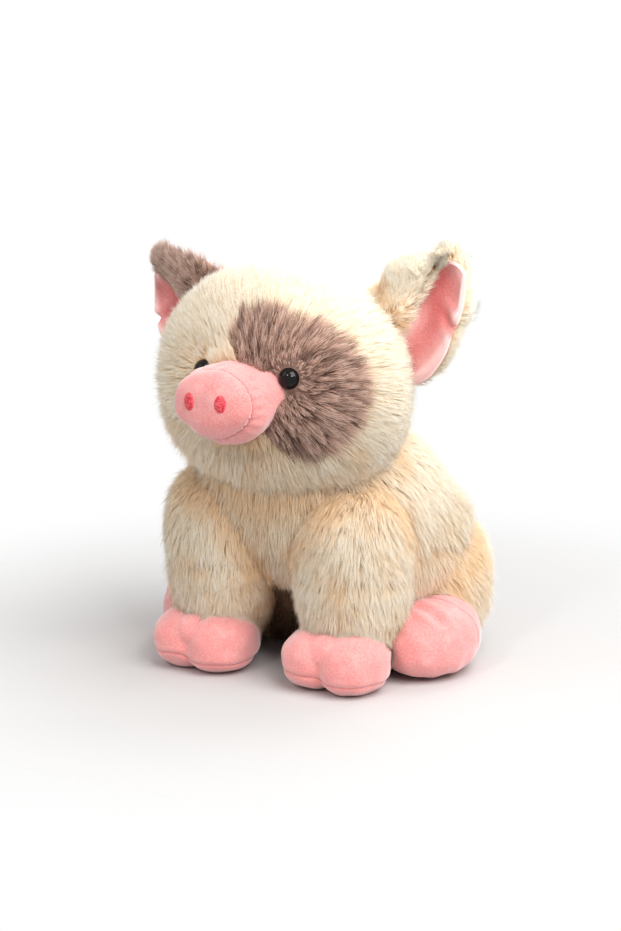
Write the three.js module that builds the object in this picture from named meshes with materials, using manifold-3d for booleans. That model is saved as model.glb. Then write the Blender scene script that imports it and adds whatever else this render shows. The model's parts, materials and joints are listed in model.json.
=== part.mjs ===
// A plush pig that sits like a dog: fur skins over stuffing, pink velboa snout, hooves and ear
// linings, safety eyes with washers, and ears and a tail that swing on their sewn roots.
// Millimetres, +Z up. The pig faces -Y, its own left side is +X, and it rests on z = 0.
import * as THREE from 'three';
import { mergeVertices } from 'three/addons/utils/BufferGeometryUtils.js';
import Module from 'manifold-3d';

// Cloth, stuffing and the small gaps between pieces that are sewn face to face
const sewnGap = 0.3;
const rootGap = 0.5; // round the roots that ears and tail turn on
const furWall = 9; // backing cloth with its pile
const velboaWall = 2.6; // short pink pile with its seam allowance
const floorFlat = 0.5; // how deep the weight flattens what rests on the floor
const cutOverrun = 300; // every cutting block reaches this far past the toy
const mergeShare = 0.001; // corners closer than this share of the gap are one

// In each table of shares, round 2 is an oval and more is squarer, above and below the widest
// level; narrow draws the top in and lets the bottom out; tuck pulls the belly up in front
// Torso: a leaning pear that sits on its seat, which is the origin
const torsoHalfWidth = 86;
const torsoHalfDepth = 80;
const torsoHeight = 178;
const torsoLean = 35; // how far the middle leans forward of the seat, and the neck of the middle
const torsoBow = 12; // how far the spine bows back at its middle
const torsoShares = { topRound: 2.2, bottomRound: 4.4, narrow: -0.08, tuck: 0.5 };
const pouchHalfWidth = 46;
const pouchHalfDepth = 40;
const pouchHeight = 34;
const plainOval = { topRound: 2, bottomRound: 2, narrow: 0, tuck: 0 };
const tuckEase = 1.5; // how late below the middle the belly starts to tuck

// Head: a wide oval with a flattened face
const headHalfWidth = 87;
const headFaceDepth = 50;
const headBackDepth = 65;
const headHalfHeight = 71.5;
const headForward = 92;
const headRise = 197;
const headTurn = 2; // degrees, towards the pig's right
const headShares = { topRound: 2.15, bottomRound: 2.2, narrow: 0.04, tuck: 0 };

// Eye patch: an oval panel of brown fur round the left eye
const patchHalfWidth = 43;
const patchHalfHeight = 50;
const patchTurn = 47; // degrees from straight ahead
const patchTilt = 9; // degrees, top towards the snout
const patchRise = 4;

// Safety eyes
const eyeRadius = 7;
const eyeDome = 6.2;
const eyeSpread = 33.5;
const eyeRise = 8;
const eyeInset = 6; // how deep the pile hides the back of the eye
const eyeDomeShare = 0.6; // reach of the dome's curve handles
const stemRadius = 2.2;
const stemRidge = 0.4;
const stemLength = 15;
const stemRidges = 3;
const washerRadius = 7;
const washerThickness = 2;

// Snout: a swelling band closed by a domed disc
const snoutHalfWidth = 28.3;
const snoutHalfHeight = 21.6;
const snoutFlare = 4.2;
const snoutSwell = 1.5; // how far the stuffing pushes the band out past its flare
const snoutBandReach = 75; // head's middle to the seam of the disc
const snoutBandLength = 34;
const snoutDome = 12;
const snoutSeamDepth = 1.1;
const snoutSeamWidth = 3;
const snoutDrop = 6;
const snoutDomeShare = 0.7; // reach of the dome's curve handles
const snoutSwellShare = 0.75; // along the band, where it swells the most
const nostrilSpread = 11.5;
const nostrilRise = 2;
const nostrilHalfWidth = 4.3;
const nostrilHalfHeight = 6;
const nostrilPad = 1; // thickness of the stitches

// Ears: cupped leaves on a rolled root, with the upper edge folded forward over the lining
const earRootProud = 3.2; // middle of the rolled root outside the head's pile
const earRootBack = 30;
const earRootRise = 22;
const earRootHalfLength = 27;
const earRootRadius = 4.5;
const earRootLean = 25.6; // degrees, top of the root inwards
const earLift = 25.5; // degrees, tip above level
const leftEarSweep = 8; // degrees, tip backwards
const rightEarSweep = 14;
const earLength = 62;
const earHalfWidth = 32;
const leftEarSkew = 29; // tip above the root's middle
const rightEarSkew = 20;
const earCup = 13;
const earBend = 4;
const earBackThickness = 5;
const earLiningGap = 0.8;
const earLiningThickness = 2;
const earRim = 6; // fur rim left round the lining
const earLiningStart = 9;
const earFold = 9; // how far the fold stands in front of the cloth
const earShares = {
  root: 0.85, // width at the root
  shoulder: 0.3, // along the ear, where its sides start to close towards the tip
  tipRound: 2.6, // how blunt the tip is
  cupped: 0.6, // along the ear, where its cup is at its deepest
  skewEase: 1.2, // how late the tip swings up
  foldStart: 0.24, // lower edge of the fold at the root, in half widths above the middle
  foldRun: 0.85, // how much higher that edge is at the tip
  foldGrown: 0.28, // along the ear, where the fold reaches its full height
  foldFaded: 0.45, // how much lower the fold is at the tip
};

// Front legs, with a cloven hoof under each
const legSpread = 49;
const legForward = 85;
const legHalfWidth = 34;
const legHalfDepth = 33;
const legTop = 134;
const legHem = 26;
const legShares = { topRound: 2.4, bottomRound: 4, narrow: -0.02, tuck: 0 };
const hoofSpread = 50;
const hoofForward = 107;
const hoofToeSpread = 12.5;
const hoofToeHalfWidth = 23.5;
const hoofToeFront = 27;
const hoofToeBack = 30;
const hoofHeight = 39;
const hoofHeelHalfWidth = 31;
const hoofHeelHalfDepth = 30;
const hoofHeelSetback = 12;
const hoofToeSplay = 5; // degrees
const hoofShares = { topRound: 2.3, bottomRound: 2.8, narrow: 0, tuck: 0 };
const soleRise = 5;
const ankleRadius = 20; // where the stuffing passes from the leg into the hoof

// Hind legs: thighs folded against the torso, with a long rounded foot under each
const thighSpread = 60;
const thighBack = 6;
const thighHalfWidth = 37;
const thighHalfDepth = 50;
const thighHalfHeight = 46;
const thighRise = 51;
const thighShares = { topRound: 2.2, bottomRound: 2.6, narrow: 0, tuck: 0 };
const footSpread = 89;
const footForward = 40;
const footHalfWidth = 29;
const footHalfLength = 41;
const footHeight = 49;
const footSplay = 6; // degrees, toes outwards
const footShares = { topRound: 2.2, bottomRound: 2.8, narrow: 0, tuck: 0 };
const heelRadius = 13; // where the stuffing passes from the thigh into the foot

// Tail: one curl of stuffed velboa
const tailRise = 62;
const tailSink = 2; // middle of the tail's root below the pile
const tailRootRadius = 5.2;
const tailNeckRadius = 3.8;
const tailTipRadius = 3;
const tailNeck = 17;
const tailCurlRadius = 8.5;
const tailCurlWidth = 10; // how far one turn of the curl moves sideways
const tailTurns = 1.15;

// Counts
const bodySides = 26;
const bodyRings = 13;
const headSides = 28;
const headRings = 14;
const limbSides = 16;
const limbRings = 8;
const coreSides = 12;
const coreRings = 7;
const toeSides = 12;
const toeRings = 7;
const toeCoreSides = 10;
const toeCoreRings = 6;
const snoutSides = 22;
const roundSides = 14;
const leafColumns = 6;
const foldColumns = 4;
const leafRows = 10;
const domeSteps = 4; // along each curve of a turned outline
const capSteps = 3;
const tailSteps = 14;
const tailSides = 8;

// Colours as the toy shows them
const creamFur = { color: 0xe6d9c2, roughness: 0.95, metalness: 0 };
const brownFur = { color: 0x94766c, roughness: 0.95, metalness: 0 };
const pinkVelboa = { color: 0xf79fa2, roughness: 0.9, metalness: 0 };
const nostrilThread = { color: 0xdc4256, roughness: 0.7, metalness: 0 };
const eyePlastic = { color: 0x0c0a0a, roughness: 0.08, metalness: 0 };
const washerPlastic = { color: 0xf2f2f0, roughness: 0.5, metalness: 0 };
const stuffingFibre = { color: 0xf7f7f5, roughness: 1, metalness: 0 };
const pouchCotton = { color: 0xd8d2c4, roughness: 1, metalness: 0 };

const wasm = await Module();
wasm.setup();

// A solid from a closed geometry: shared corners merged and collapsed triangles left out
function solidOf(geometry) {
  const bare = geometry.clone();
  bare.deleteAttribute('normal');
  bare.deleteAttribute('uv');
  const merged = mergeVertices(bare, sewnGap * mergeShare);
  const corners = [];
  for (let i = 0; i < merged.index.count; i += 3) {
    const [a, b, c] = [0, 1, 2].map((step) => merged.index.getX(i + step));
    if (a !== b && b !== c && c !== a) corners.push(a, b, c);
  }
  return new wasm.Manifold(new wasm.Mesh({
    numProp: 3,
    vertProperties: new Float32Array(merged.attributes.position.array),
    triVerts: new Uint32Array(corners),
  }));
}

function geometryOf(solid) {
  const mesh = solid.getMesh();
  const geometry = new THREE.BufferGeometry();
  geometry.setAttribute('position', new THREE.BufferAttribute(mesh.vertProperties, 3));
  geometry.setIndex(new THREE.BufferAttribute(mesh.triVerts, 1));
  geometry.computeVertexNormals();
  return geometry;
}

function joined(first, ...others) {
  return others.reduce((whole, other) => whole.add(other), first);
}

function cut(first, ...others) {
  return others.reduce((whole, other) => whole.subtract(other), first);
}

// The same solid seen from another frame, such as the torso as the head's own frame sees it
function moved(solid, matrix) {
  return solidOf(geometryOf(solid).applyMatrix4(matrix));
}

// The solid of the pig's other side
function mirrored(solid) {
  const geometry = geometryOf(solid).applyMatrix4(new THREE.Matrix4().makeScale(-1, 1, 1));
  const index = geometry.index;
  for (let i = 0; i < index.count; i += 3) {
    const kept = index.getX(i);
    index.setX(i, index.getX(i + 1));
    index.setX(i + 1, kept);
  }
  return solidOf(geometry);
}

function power(value, exponent) {
  return Math.sign(value) * Math.abs(value) ** exponent;
}

// A stuffed form: round poles above and below, its outline swelling and tapering between them.
// form.at(turn, fall) is a point of the skin: turn goes round, fall from the top pole to the
// bottom one, both 0 to 1. grow moves the skin outwards, or inwards where it is negative.
function stuffed(form, sides, rings, grow = 0) {
  const step = 1 / (rings * sides);
  const skinAt = (turn, fall) => {
    const point = form.at(turn, fall);
    if (grow === 0) return point;
    const round = form.at(turn + step, fall).sub(form.at(turn - step, fall));
    const down = form.at(turn, fall + step).sub(form.at(turn, fall - step));
    return point.addScaledVector(down.cross(round).normalize(), grow);
  };
  const points = [form.at(0, 0), form.at(0, 1)];
  points[0].z += grow;
  points[1].z -= grow;
  for (let ring = 1; ring < rings; ring += 1) {
    for (let side = 0; side < sides; side += 1) points.push(skinAt(side / sides, ring / rings));
  }
  const index = [];
  const corner = (ring, side) => 2 + (ring - 1) * sides + (side % sides);
  for (let side = 0; side < sides; side += 1) {
    index.push(0, corner(1, side), corner(1, side + 1));
    index.push(1, corner(rings - 1, side + 1), corner(rings - 1, side));
    for (let ring = 1; ring < rings - 1; ring += 1) {
      const [a, b] = [corner(ring, side), corner(ring, side + 1)];
      const [c, d] = [corner(ring + 1, side), corner(ring + 1, side + 1)];
      index.push(a, c, b, b, c, d);
    }
  }
  const geometry = new THREE.BufferGeometry().setFromPoints(points);
  geometry.setIndex(index);
  return solidOf(geometry);
}

// The outline of a stuffed form with its own reach to each side
function bulb({ halfWidth, front, back, top, bottom, shares, middle, spine = () => 0, splay = 0 }) {
  const upright = new THREE.Vector3(0, 0, 1);
  return {
    at(turn, fall) {
      const angle = turn * 2 * Math.PI;
      const lift = Math.cos(fall * Math.PI);
      const round = lift > 0 ? shares.topRound : shares.bottomRound;
      const height = power(lift, 2 / round);
      const swell = power(Math.sin(fall * Math.PI), 2 / round) * (1 - shares.narrow * height);
      const tucked = front * (1 - shares.tuck * Math.max(0, -height) ** tuckEase);
      const reach = Math.sin(angle) < 0 ? tucked : back;
      const point = new THREE.Vector3(
        halfWidth * swell * Math.cos(angle),
        reach * swell * Math.sin(angle) + spine(height),
        (height > 0 ? top : bottom) * height,
      );
      return point.applyAxisAngle(upright, splay).add(middle);
    },
    // The fall at which the skin passes a height above or below the form's middle
    fallAt(height) {
      const level = height > 0 ? height / top : height / bottom;
      const round = height > 0 ? shares.topRound : shares.bottomRound;
      return Math.acos(power(level, round / 2)) / Math.PI;
    },
  };
}

// Everything below a level, such as the floor or the top of a sole
function below(level) {
  const block = new THREE.BoxGeometry(cutOverrun * 2, cutOverrun * 2, cutOverrun);
  block.translate(0, 0, level - cutOverrun / 2);
  return solidOf(block);
}

const floor = below(0);
const upAxis = new THREE.Vector3(0, 1, 0);

// A round bar from one point towards another
function bar(from, direction, length, radius) {
  const geometry = new THREE.CylinderGeometry(radius, radius, length, roundSides);
  geometry.translate(0, length / 2, 0);
  geometry.applyQuaternion(new THREE.Quaternion().setFromUnitVectors(upAxis, direction));
  geometry.translate(from.x, from.y, from.z);
  return solidOf(geometry);
}

// Torso
const torsoForm = bulb({
  halfWidth: torsoHalfWidth,
  front: torsoHalfDepth,
  back: torsoHalfDepth,
  top: torsoHeight / 2,
  bottom: torsoHeight / 2 + floorFlat,
  shares: torsoShares,
  spine: (height) => torsoBow * (1 - height * height) - torsoLean * (1 + height),
  middle: new THREE.Vector3(0, 0, torsoHeight / 2),
});
const torsoOuter = stuffed(torsoForm, bodySides, bodyRings);
const torsoGrown = stuffed(torsoForm, bodySides, bodyRings, sewnGap);

// Head, in its own frame
const headForm = bulb({
  halfWidth: headHalfWidth,
  front: headFaceDepth,
  back: headBackDepth,
  top: headHalfHeight,
  bottom: headHalfHeight,
  shares: headShares,
  middle: new THREE.Vector3(),
});
const headOuter = stuffed(headForm, headSides, headRings);
const headCore = stuffed(headForm, coreSides, coreRings, -furWall - sewnGap);
const headHollow = stuffed(headForm, coreSides, coreRings, -furWall);
const headGrown = stuffed(headForm, headSides, headRings, sewnGap);
const head = new THREE.Group();
head.position.set(0, -headForward, headRise);
head.rotation.z = THREE.MathUtils.degToRad(-headTurn);
head.updateMatrixWorld();
const intoHead = head.matrixWorld.clone().invert();

// Skin, stuffing and weighted pouch of the torso, with the neck left open for the head's stuffing
function torsoPieces(tailSocket) {
  const hollow = stuffed(torsoForm, coreSides, coreRings, -furWall);
  const core = stuffed(torsoForm, coreSides, coreRings, -furWall - sewnGap);
  const neck = moved(stuffed(headForm, coreSides, coreRings, -furWall), head.matrixWorld);
  const pouchForm = bulb({
    halfWidth: pouchHalfWidth,
    front: pouchHalfDepth,
    back: pouchHalfDepth,
    top: pouchHeight,
    bottom: pouchHeight,
    shares: plainOval,
    middle: new THREE.Vector3(),
  });
  const pouch = stuffed(pouchForm, coreSides, coreRings);
  const pocket = stuffed(pouchForm, coreSides, coreRings, sewnGap);
  return {
    torso_skin: cut(torsoOuter, hollow, neck, floor, tailSocket),
    torso_stuffing: cut(core, neck, pocket),
    pellet_pouch: pouch.intersect(core),
  };
}

// A limb: a fur sleeve, a pink foot with a separate sole, and one stuffing through both.
// The larger piece cuts the smaller: torso, then sleeve, then foot.
function limbPieces({ sleeveForm, footForms, ankle, neighbours }) {
  const sleeve = stuffed(sleeveForm, limbSides, limbRings);
  const sleeveGrown = stuffed(sleeveForm, limbSides, limbRings, sewnGap);
  const feet = footForms.map((form) => stuffed(form, toeSides, toeRings));
  const foot = cut(joined(...feet), floor);
  const hollowOf = (extra) => {
    const footCores = footForms.map(
      (form) => stuffed(form, toeCoreSides, toeCoreRings, -velboaWall - extra),
    );
    const sleeveLimit = stuffed(sleeveForm, coreSides, coreRings, -velboaWall - extra);
    const throat = bar(ankle.from, ankle.towards, ankle.length, ankle.radius - extra)
      .intersect(joined(sleeveLimit, ...footCores));
    return joined(
      stuffed(sleeveForm, coreSides, coreRings, -furWall - extra),
      throat,
      ...footCores,
    );
  };
  const hollow = cut(hollowOf(0), below(velboaWall));
  const core = cut(hollowOf(sewnGap), below(velboaWall + sewnGap));
  const footSkin = cut(foot, hollow, sleeveGrown, ...neighbours);
  return {
    sleeve: cut(sleeve, hollow, floor, ...neighbours),
    stuffing: cut(core, ...neighbours),
    foot: cut(footSkin, below(soleRise)),
    sole: footSkin.intersect(below(soleRise - sewnGap)),
  };
}

function frontLeg(side) {
  const toeTurn = THREE.MathUtils.degToRad(hoofToeSplay);
  const toes = [-1, 1].map((toe) => bulb({
    halfWidth: hoofToeHalfWidth,
    front: hoofToeFront,
    back: hoofToeBack,
    top: hoofHeight / 2,
    bottom: hoofHeight / 2 + floorFlat,
    shares: hoofShares,
    middle: new THREE.Vector3(
      side * hoofSpread + toe * hoofToeSpread,
      -hoofForward,
      hoofHeight / 2,
    ),
    splay: toe * toeTurn,
  }));
  const heel = bulb({
    halfWidth: hoofHeelHalfWidth,
    front: hoofHeelHalfDepth,
    back: hoofHeelHalfDepth,
    top: hoofHeight / 2,
    bottom: hoofHeight / 2 + floorFlat,
    shares: hoofShares,
    middle: new THREE.Vector3(side * hoofSpread, hoofHeelSetback - hoofForward, hoofHeight / 2),
  });
  const sleeveForm = bulb({
    halfWidth: legHalfWidth,
    front: legHalfDepth,
    back: legHalfDepth,
    top: (legTop - legHem) / 2,
    bottom: (legTop - legHem) / 2,
    shares: legShares,
    middle: new THREE.Vector3(side * legSpread, -legForward, (legTop + legHem) / 2),
  });
  return limbPieces({
    sleeveForm,
    footForms: [...toes, heel],
    ankle: {
      from: new THREE.Vector3(side * legSpread, -legForward, hoofHeight / 2),
      towards: new THREE.Vector3(0, 0, 1),
      length: legHem + furWall,
      radius: ankleRadius,
    },
    neighbours: [torsoGrown],
  });
}

function hindLeg(side) {
  const sleeveForm = bulb({
    halfWidth: thighHalfWidth,
    front: thighHalfDepth,
    back: thighHalfDepth,
    top: thighHalfHeight,
    bottom: thighHalfHeight,
    shares: thighShares,
    middle: new THREE.Vector3(side * thighSpread, thighBack, thighRise),
  });
  const footForm = bulb({
    halfWidth: footHalfWidth,
    front: footHalfLength,
    back: footHalfLength,
    top: footHeight / 2,
    bottom: footHeight / 2 + floorFlat,
    shares: footShares,
    middle: new THREE.Vector3(side * footSpread, -footForward, footHeight / 2),
    splay: side * THREE.MathUtils.degToRad(footSplay),
  });
  const heel = new THREE.Vector3(side * footSpread, -footForward, footHeight / 2);
  const knee = new THREE.Vector3(side * thighSpread, thighBack, thighRise);
  return limbPieces({
    sleeveForm,
    footForms: [footForm],
    ankle: {
      from: heel,
      towards: knee.clone().sub(heel).normalize(),
      length: knee.distanceTo(heel),
      radius: heelRadius,
    },
    neighbours: [torsoGrown],
  });
}

// Snout: one lathed outline, made oval, with a pinched seam between band and disc
function snoutSolid(inset) {
  const rim = snoutHalfWidth - inset;
  const seat = snoutHalfWidth + snoutFlare - inset;
  const pinch = inset > 0 ? 0 : snoutSeamDepth;
  const outline = new THREE.Path();
  outline.moveTo(0, inset);
  outline.lineTo(seat, inset);
  outline.quadraticCurveTo(
    seat + snoutSwell, snoutBandLength * snoutSwellShare,
    rim, snoutBandLength - snoutSeamWidth / 2,
  );
  outline.lineTo(rim - pinch, snoutBandLength);
  outline.lineTo(rim, snoutBandLength + snoutSeamWidth / 2);
  outline.bezierCurveTo(
    rim, snoutBandLength + snoutDome * snoutDomeShare,
    rim * snoutDomeShare, snoutBandLength + snoutDome - inset,
    0, snoutBandLength + snoutDome - inset,
  );
  const geometry = new THREE.LatheGeometry(outline.getPoints(domeSteps), snoutSides);
  geometry.scale(1, 1, snoutHalfHeight / snoutHalfWidth);
  geometry.rotateX(Math.PI);
  geometry.translate(0, -snoutBandReach + snoutBandLength, -snoutDrop);
  return solidOf(geometry);
}

// Everything in front of the seam of the snout's disc
function aheadOf(reach) {
  const block = new THREE.BoxGeometry(cutOverrun * 2, cutOverrun, cutOverrun * 2);
  block.translate(0, -reach - cutOverrun / 2, 0);
  return solidOf(block);
}

function snoutPieces() {
  const shell = cut(snoutSolid(0), snoutSolid(velboaWall), headGrown);
  const padding = cut(snoutSolid(velboaWall + sewnGap), headGrown);
  return {
    snout_band: cut(shell, aheadOf(snoutBandReach)),
    snout_disc: shell.intersect(aheadOf(snoutBandReach + sewnGap)),
    snout_stuffing: padding,
  };
}

// Nostril: an oval pad of satin stitches that follows the dome of the disc
function nostril(side) {
  const oval = new THREE.Shape();
  oval.absellipse(0, 0, nostrilHalfWidth, nostrilHalfHeight, 0, 2 * Math.PI);
  const plug = new THREE.ExtrudeGeometry(oval, {
    depth: cutOverrun,
    bevelEnabled: false,
    curveSegments: roundSides / 2,
  });
  plug.rotateX(Math.PI / 2);
  plug.translate(side * nostrilSpread, -snoutBandReach, nostrilRise - snoutDrop);
  const stitched = cut(snoutSolid(-sewnGap - nostrilPad), snoutSolid(-sewnGap));
  return stitched.intersect(solidOf(plug));
}

// Eyes: where they sit on the face and which way they look
function eyePlace(side) {
  const x = side * eyeSpread;
  const flat = Math.sqrt(1 - (x / headHalfWidth) ** 2 - (eyeRise / headHalfHeight) ** 2);
  const y = -headFaceDepth * flat;
  const look = new THREE.Vector3(
    x / headHalfWidth ** 2,
    y / headFaceDepth ** 2,
    eyeRise / headHalfHeight ** 2,
  ).normalize();
  const seat = new THREE.Vector3(x, y, eyeRise).addScaledVector(look, -eyeInset);
  return { seat, look, back: look.clone().negate() };
}

function turnedTo(geometry, { seat, look }) {
  geometry.applyQuaternion(new THREE.Quaternion().setFromUnitVectors(upAxis, look));
  geometry.translate(seat.x, seat.y, seat.z);
  return solidOf(geometry);
}

// The domed eye with its ridged stem, which the washer is pushed along
function eye(place) {
  const outline = new THREE.Path();
  outline.moveTo(0, -stemLength);
  outline.lineTo(stemRadius - stemRidge, -stemLength);
  const ridgeStep = (stemLength - furWall) / stemRidges;
  for (let ridge = 0; ridge < stemRidges; ridge += 1) {
    const level = -stemLength + (ridge + 1) * ridgeStep;
    outline.lineTo(stemRadius, level - ridgeStep / 3);
    outline.lineTo(stemRadius - stemRidge, level);
  }
  outline.lineTo(stemRadius, 0);
  outline.lineTo(eyeRadius, 0);
  outline.bezierCurveTo(
    eyeRadius, eyeDome * eyeDomeShare,
    eyeRadius * eyeDomeShare, eyeDome,
    0, eyeDome,
  );
  return turnedTo(new THREE.LatheGeometry(outline.getPoints(domeSteps), roundSides), place);
}

function washer(place) {
  const bore = stemRadius + sewnGap;
  const near = -furWall + eyeInset - sewnGap;
  const outline = new THREE.Path();
  outline.moveTo(bore, near - washerThickness);
  outline.lineTo(washerRadius, near - washerThickness);
  outline.lineTo(washerRadius, near - washerThickness / 2);
  outline.lineTo(bore + washerThickness, near);
  outline.lineTo(bore, near);
  outline.closePath();
  return turnedTo(new THREE.LatheGeometry(outline.getPoints(1), roundSides), place);
}

// What the eye needs cleared in the skin and in the stuffing
function eyeRoom({ seat, look, back }) {
  const under = seat.clone().addScaledVector(back, sewnGap);
  const inside = seat.clone().addScaledVector(back, furWall - eyeInset);
  const washerRoom = bar(inside, back, washerThickness + 2 * sewnGap, washerRadius + sewnGap);
  const stemRoom = bar(seat, back, stemLength + sewnGap, stemRadius + sewnGap);
  return {
    skin: joined(bar(under, look, furWall * 2, eyeRadius + sewnGap), stemRoom, washerRoom),
    stuffing: joined(stemRoom, washerRoom),
  };
}

// The eye patch is cut out of the head's skin by an oval prism
function patchPrism(grow) {
  const oval = new THREE.Shape();
  oval.absellipse(0, 0, patchHalfWidth + grow, patchHalfHeight + grow, 0, 2 * Math.PI);
  const prism = new THREE.ExtrudeGeometry(oval, {
    depth: cutOverrun,
    bevelEnabled: false,
    curveSegments: roundSides,
  });
  prism.rotateZ(THREE.MathUtils.degToRad(patchTilt));
  prism.rotateX(Math.PI / 2);
  prism.rotateZ(THREE.MathUtils.degToRad(patchTurn));
  prism.translate(0, 0, patchRise);
  return solidOf(prism);
}

// Ear, in a frame on its root: x up along the root, z out to the tip, y towards the pink face
const rootFall = headForm.fallAt(earRootRise);
const rootTurn = Math.asin(earRootBack / headForm.at(1 / 4, rootFall).y) / (2 * Math.PI);
const rootMiddle = headForm.at(rootTurn, rootFall);
rootMiddle.x += earRootProud;
const headNormal = new THREE.Vector3(
  rootMiddle.x / headHalfWidth ** 2,
  earRootBack / headBackDepth ** 2,
  earRootRise / headHalfHeight ** 2,
).normalize();
const rootLean = THREE.MathUtils.degToRad(earRootLean);
const rootAlong = new THREE.Vector3(-Math.sin(rootLean), 0, Math.cos(rootLean));
rootAlong.addScaledVector(headNormal, -rootAlong.dot(headNormal)).normalize();

function onRoot(sweepDegrees) {
  const [lift, sweep] = [earLift, sweepDegrees].map(THREE.MathUtils.degToRad);
  const earOut = new THREE.Vector3(
    Math.cos(lift) * Math.cos(sweep),
    Math.cos(lift) * Math.sin(sweep),
    Math.sin(lift),
  );
  earOut.addScaledVector(rootAlong, -earOut.dot(rootAlong)).normalize();
  const earFace = new THREE.Vector3().crossVectors(earOut, rootAlong);
  return new THREE.Matrix4().makeBasis(rootAlong, earFace, earOut).setPosition(rootMiddle);
}

// Half the width of an ear's leaf at a distance from its root, set in all round by a rim
function earHalf(out, rim) {
  const share = Math.min(1, out / (earLength - rim));
  const closing = Math.max(0, (share - earShares.shoulder) / (1 - earShares.shoulder));
  const rounding = Math.sqrt(Math.max(0, 1 - closing ** earShares.tipRound));
  const opening = Math.min(1, share / earShares.shoulder);
  const widening = earShares.root + (1 - earShares.root) * opening;
  return (earHalfWidth - rim) * rounding * widening;
}

// Where the fold begins, above the middle of the leaf
function foldEdge(out) {
  const share = earShares.foldStart + earShares.foldRun * out / earLength;
  return Math.min(1, share) * earHalf(out, 0);
}

// How far the fold stands in front of the leaf
function foldRise(offset, out) {
  const [edge, half, share] = [foldEdge(out), earHalf(out, 0), out / earLength];
  if (half - edge < sewnGap) return 0;
  const across = Math.min(1, Math.max(0, (offset - edge) / (half - edge)));
  const dome = Math.sqrt(1 - (2 * across - 1) ** 2);
  return earFold * dome * Math.min(1, share / earShares.foldGrown) * (1 - earShares.foldFaded * share);
}

function evenly(from, to, columns) {
  return Array.from({ length: columns }, (_, i) => from + (to - from) * i / columns);
}

// A closed leaf between two levels: rows of offsets from its root, and one point at its tip
function leaf({ offsetsAt, backLevel, faceLevelAt, start, reach, skew }) {
  const pointAt = (offset, out, level) => {
    const share = out / earLength;
    const cupped = Math.min(1, share / earShares.cupped);
    const cup = earCup * cupped * (offset / earHalfWidth) ** 2;
    const risen = skew * share ** earShares.skewEase;
    return new THREE.Vector3(offset + risen, level + cup + earBend * share * share, out);
  };
  const rows = [];
  for (let row = 0; row < leafRows; row += 1) {
    const out = start + (reach - start) * Math.sin((row / leafRows) * Math.PI / 2);
    rows.push({ out, offsets: offsetsAt(out) });
  }
  const [along, across] = [leafRows, rows[0].offsets.length - 1];
  const rowLength = across + 1;
  const points = [];
  const index = [];
  for (const levelAt of [() => backLevel, faceLevelAt]) {
    for (const { out, offsets } of rows) {
      points.push(...offsets.map((offset) => pointAt(offset, out, levelAt(offset, out))));
    }
    points.push(pointAt(0, reach, levelAt(0, reach)));
  }
  const faceStart = along * rowLength + 1;
  const corner = (side, row, i) => side * faceStart + row * rowLength + i;
  const tip = (side) => side * faceStart + along * rowLength;
  const quad = (a, b, c, d) => index.push(a, b, c, b, d, c);
  for (let i = 0; i < across; i += 1) {
    for (let row = 0; row < along - 1; row += 1) {
      quad(corner(0, row, i), corner(0, row, i + 1), corner(0, row + 1, i), corner(0, row + 1, i + 1));
      quad(corner(1, row, i + 1), corner(1, row, i), corner(1, row + 1, i + 1), corner(1, row + 1, i));
    }
    index.push(corner(0, along - 1, i), corner(0, along - 1, i + 1), tip(0));
    index.push(corner(1, along - 1, i + 1), corner(1, along - 1, i), tip(1));
    quad(corner(1, 0, i), corner(1, 0, i + 1), corner(0, 0, i), corner(0, 0, i + 1));
  }
  for (let row = 0; row < along - 1; row += 1) {
    quad(corner(1, row, 0), corner(0, row, 0), corner(1, row + 1, 0), corner(0, row + 1, 0));
    quad(corner(0, row, across), corner(1, row, across), corner(0, row + 1, across),
      corner(1, row + 1, across));
  }
  index.push(corner(0, along - 1, 0), tip(0), corner(1, along - 1, 0));
  index.push(corner(1, along - 1, 0), tip(0), tip(1));
  index.push(corner(0, along - 1, across), corner(1, along - 1, across), tip(0));
  index.push(corner(1, along - 1, across), tip(1), tip(0));
  const geometry = new THREE.BufferGeometry().setFromPoints(points);
  geometry.setIndex(index);
  return solidOf(geometry);
}

// The rolled root of an ear, which turns in a groove of the head's skin
function earRoot(radius) {
  const straight = 2 * (earRootHalfLength - earRootRadius);
  const roll = new THREE.CapsuleGeometry(radius, straight, capSteps, roundSides);
  roll.rotateZ(Math.PI / 2);
  return solidOf(roll);
}

function earPieces(skew, sweep) {
  const half = earBackThickness / 2;
  const back = leaf({
    offsetsAt: (out) => [
      ...evenly(-earHalf(out, 0), foldEdge(out), leafColumns),
      ...evenly(foldEdge(out), earHalf(out, 0), foldColumns),
      earHalf(out, 0),
    ],
    backLevel: -half,
    faceLevelAt: (offset, out) => half + foldRise(offset, out),
    start: 0,
    reach: earLength,
    skew,
  });
  const face = half + earLiningGap;
  const lining = leaf({
    offsetsAt: (out) => {
      const [low, high] = [-earHalf(out, earRim), Math.min(earHalf(out, earRim), foldEdge(out))];
      return [...evenly(low, high - 2 * sewnGap, leafColumns), high - 2 * sewnGap];
    },
    backLevel: face,
    faceLevelAt: () => face + earLiningThickness,
    start: earLiningStart,
    reach: earLength - earRim,
    skew,
  });
  const place = onRoot(sweep);
  return { back: moved(joined(back, earRoot(earRootRadius)), place), lining: moved(lining, place) };
}

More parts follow.
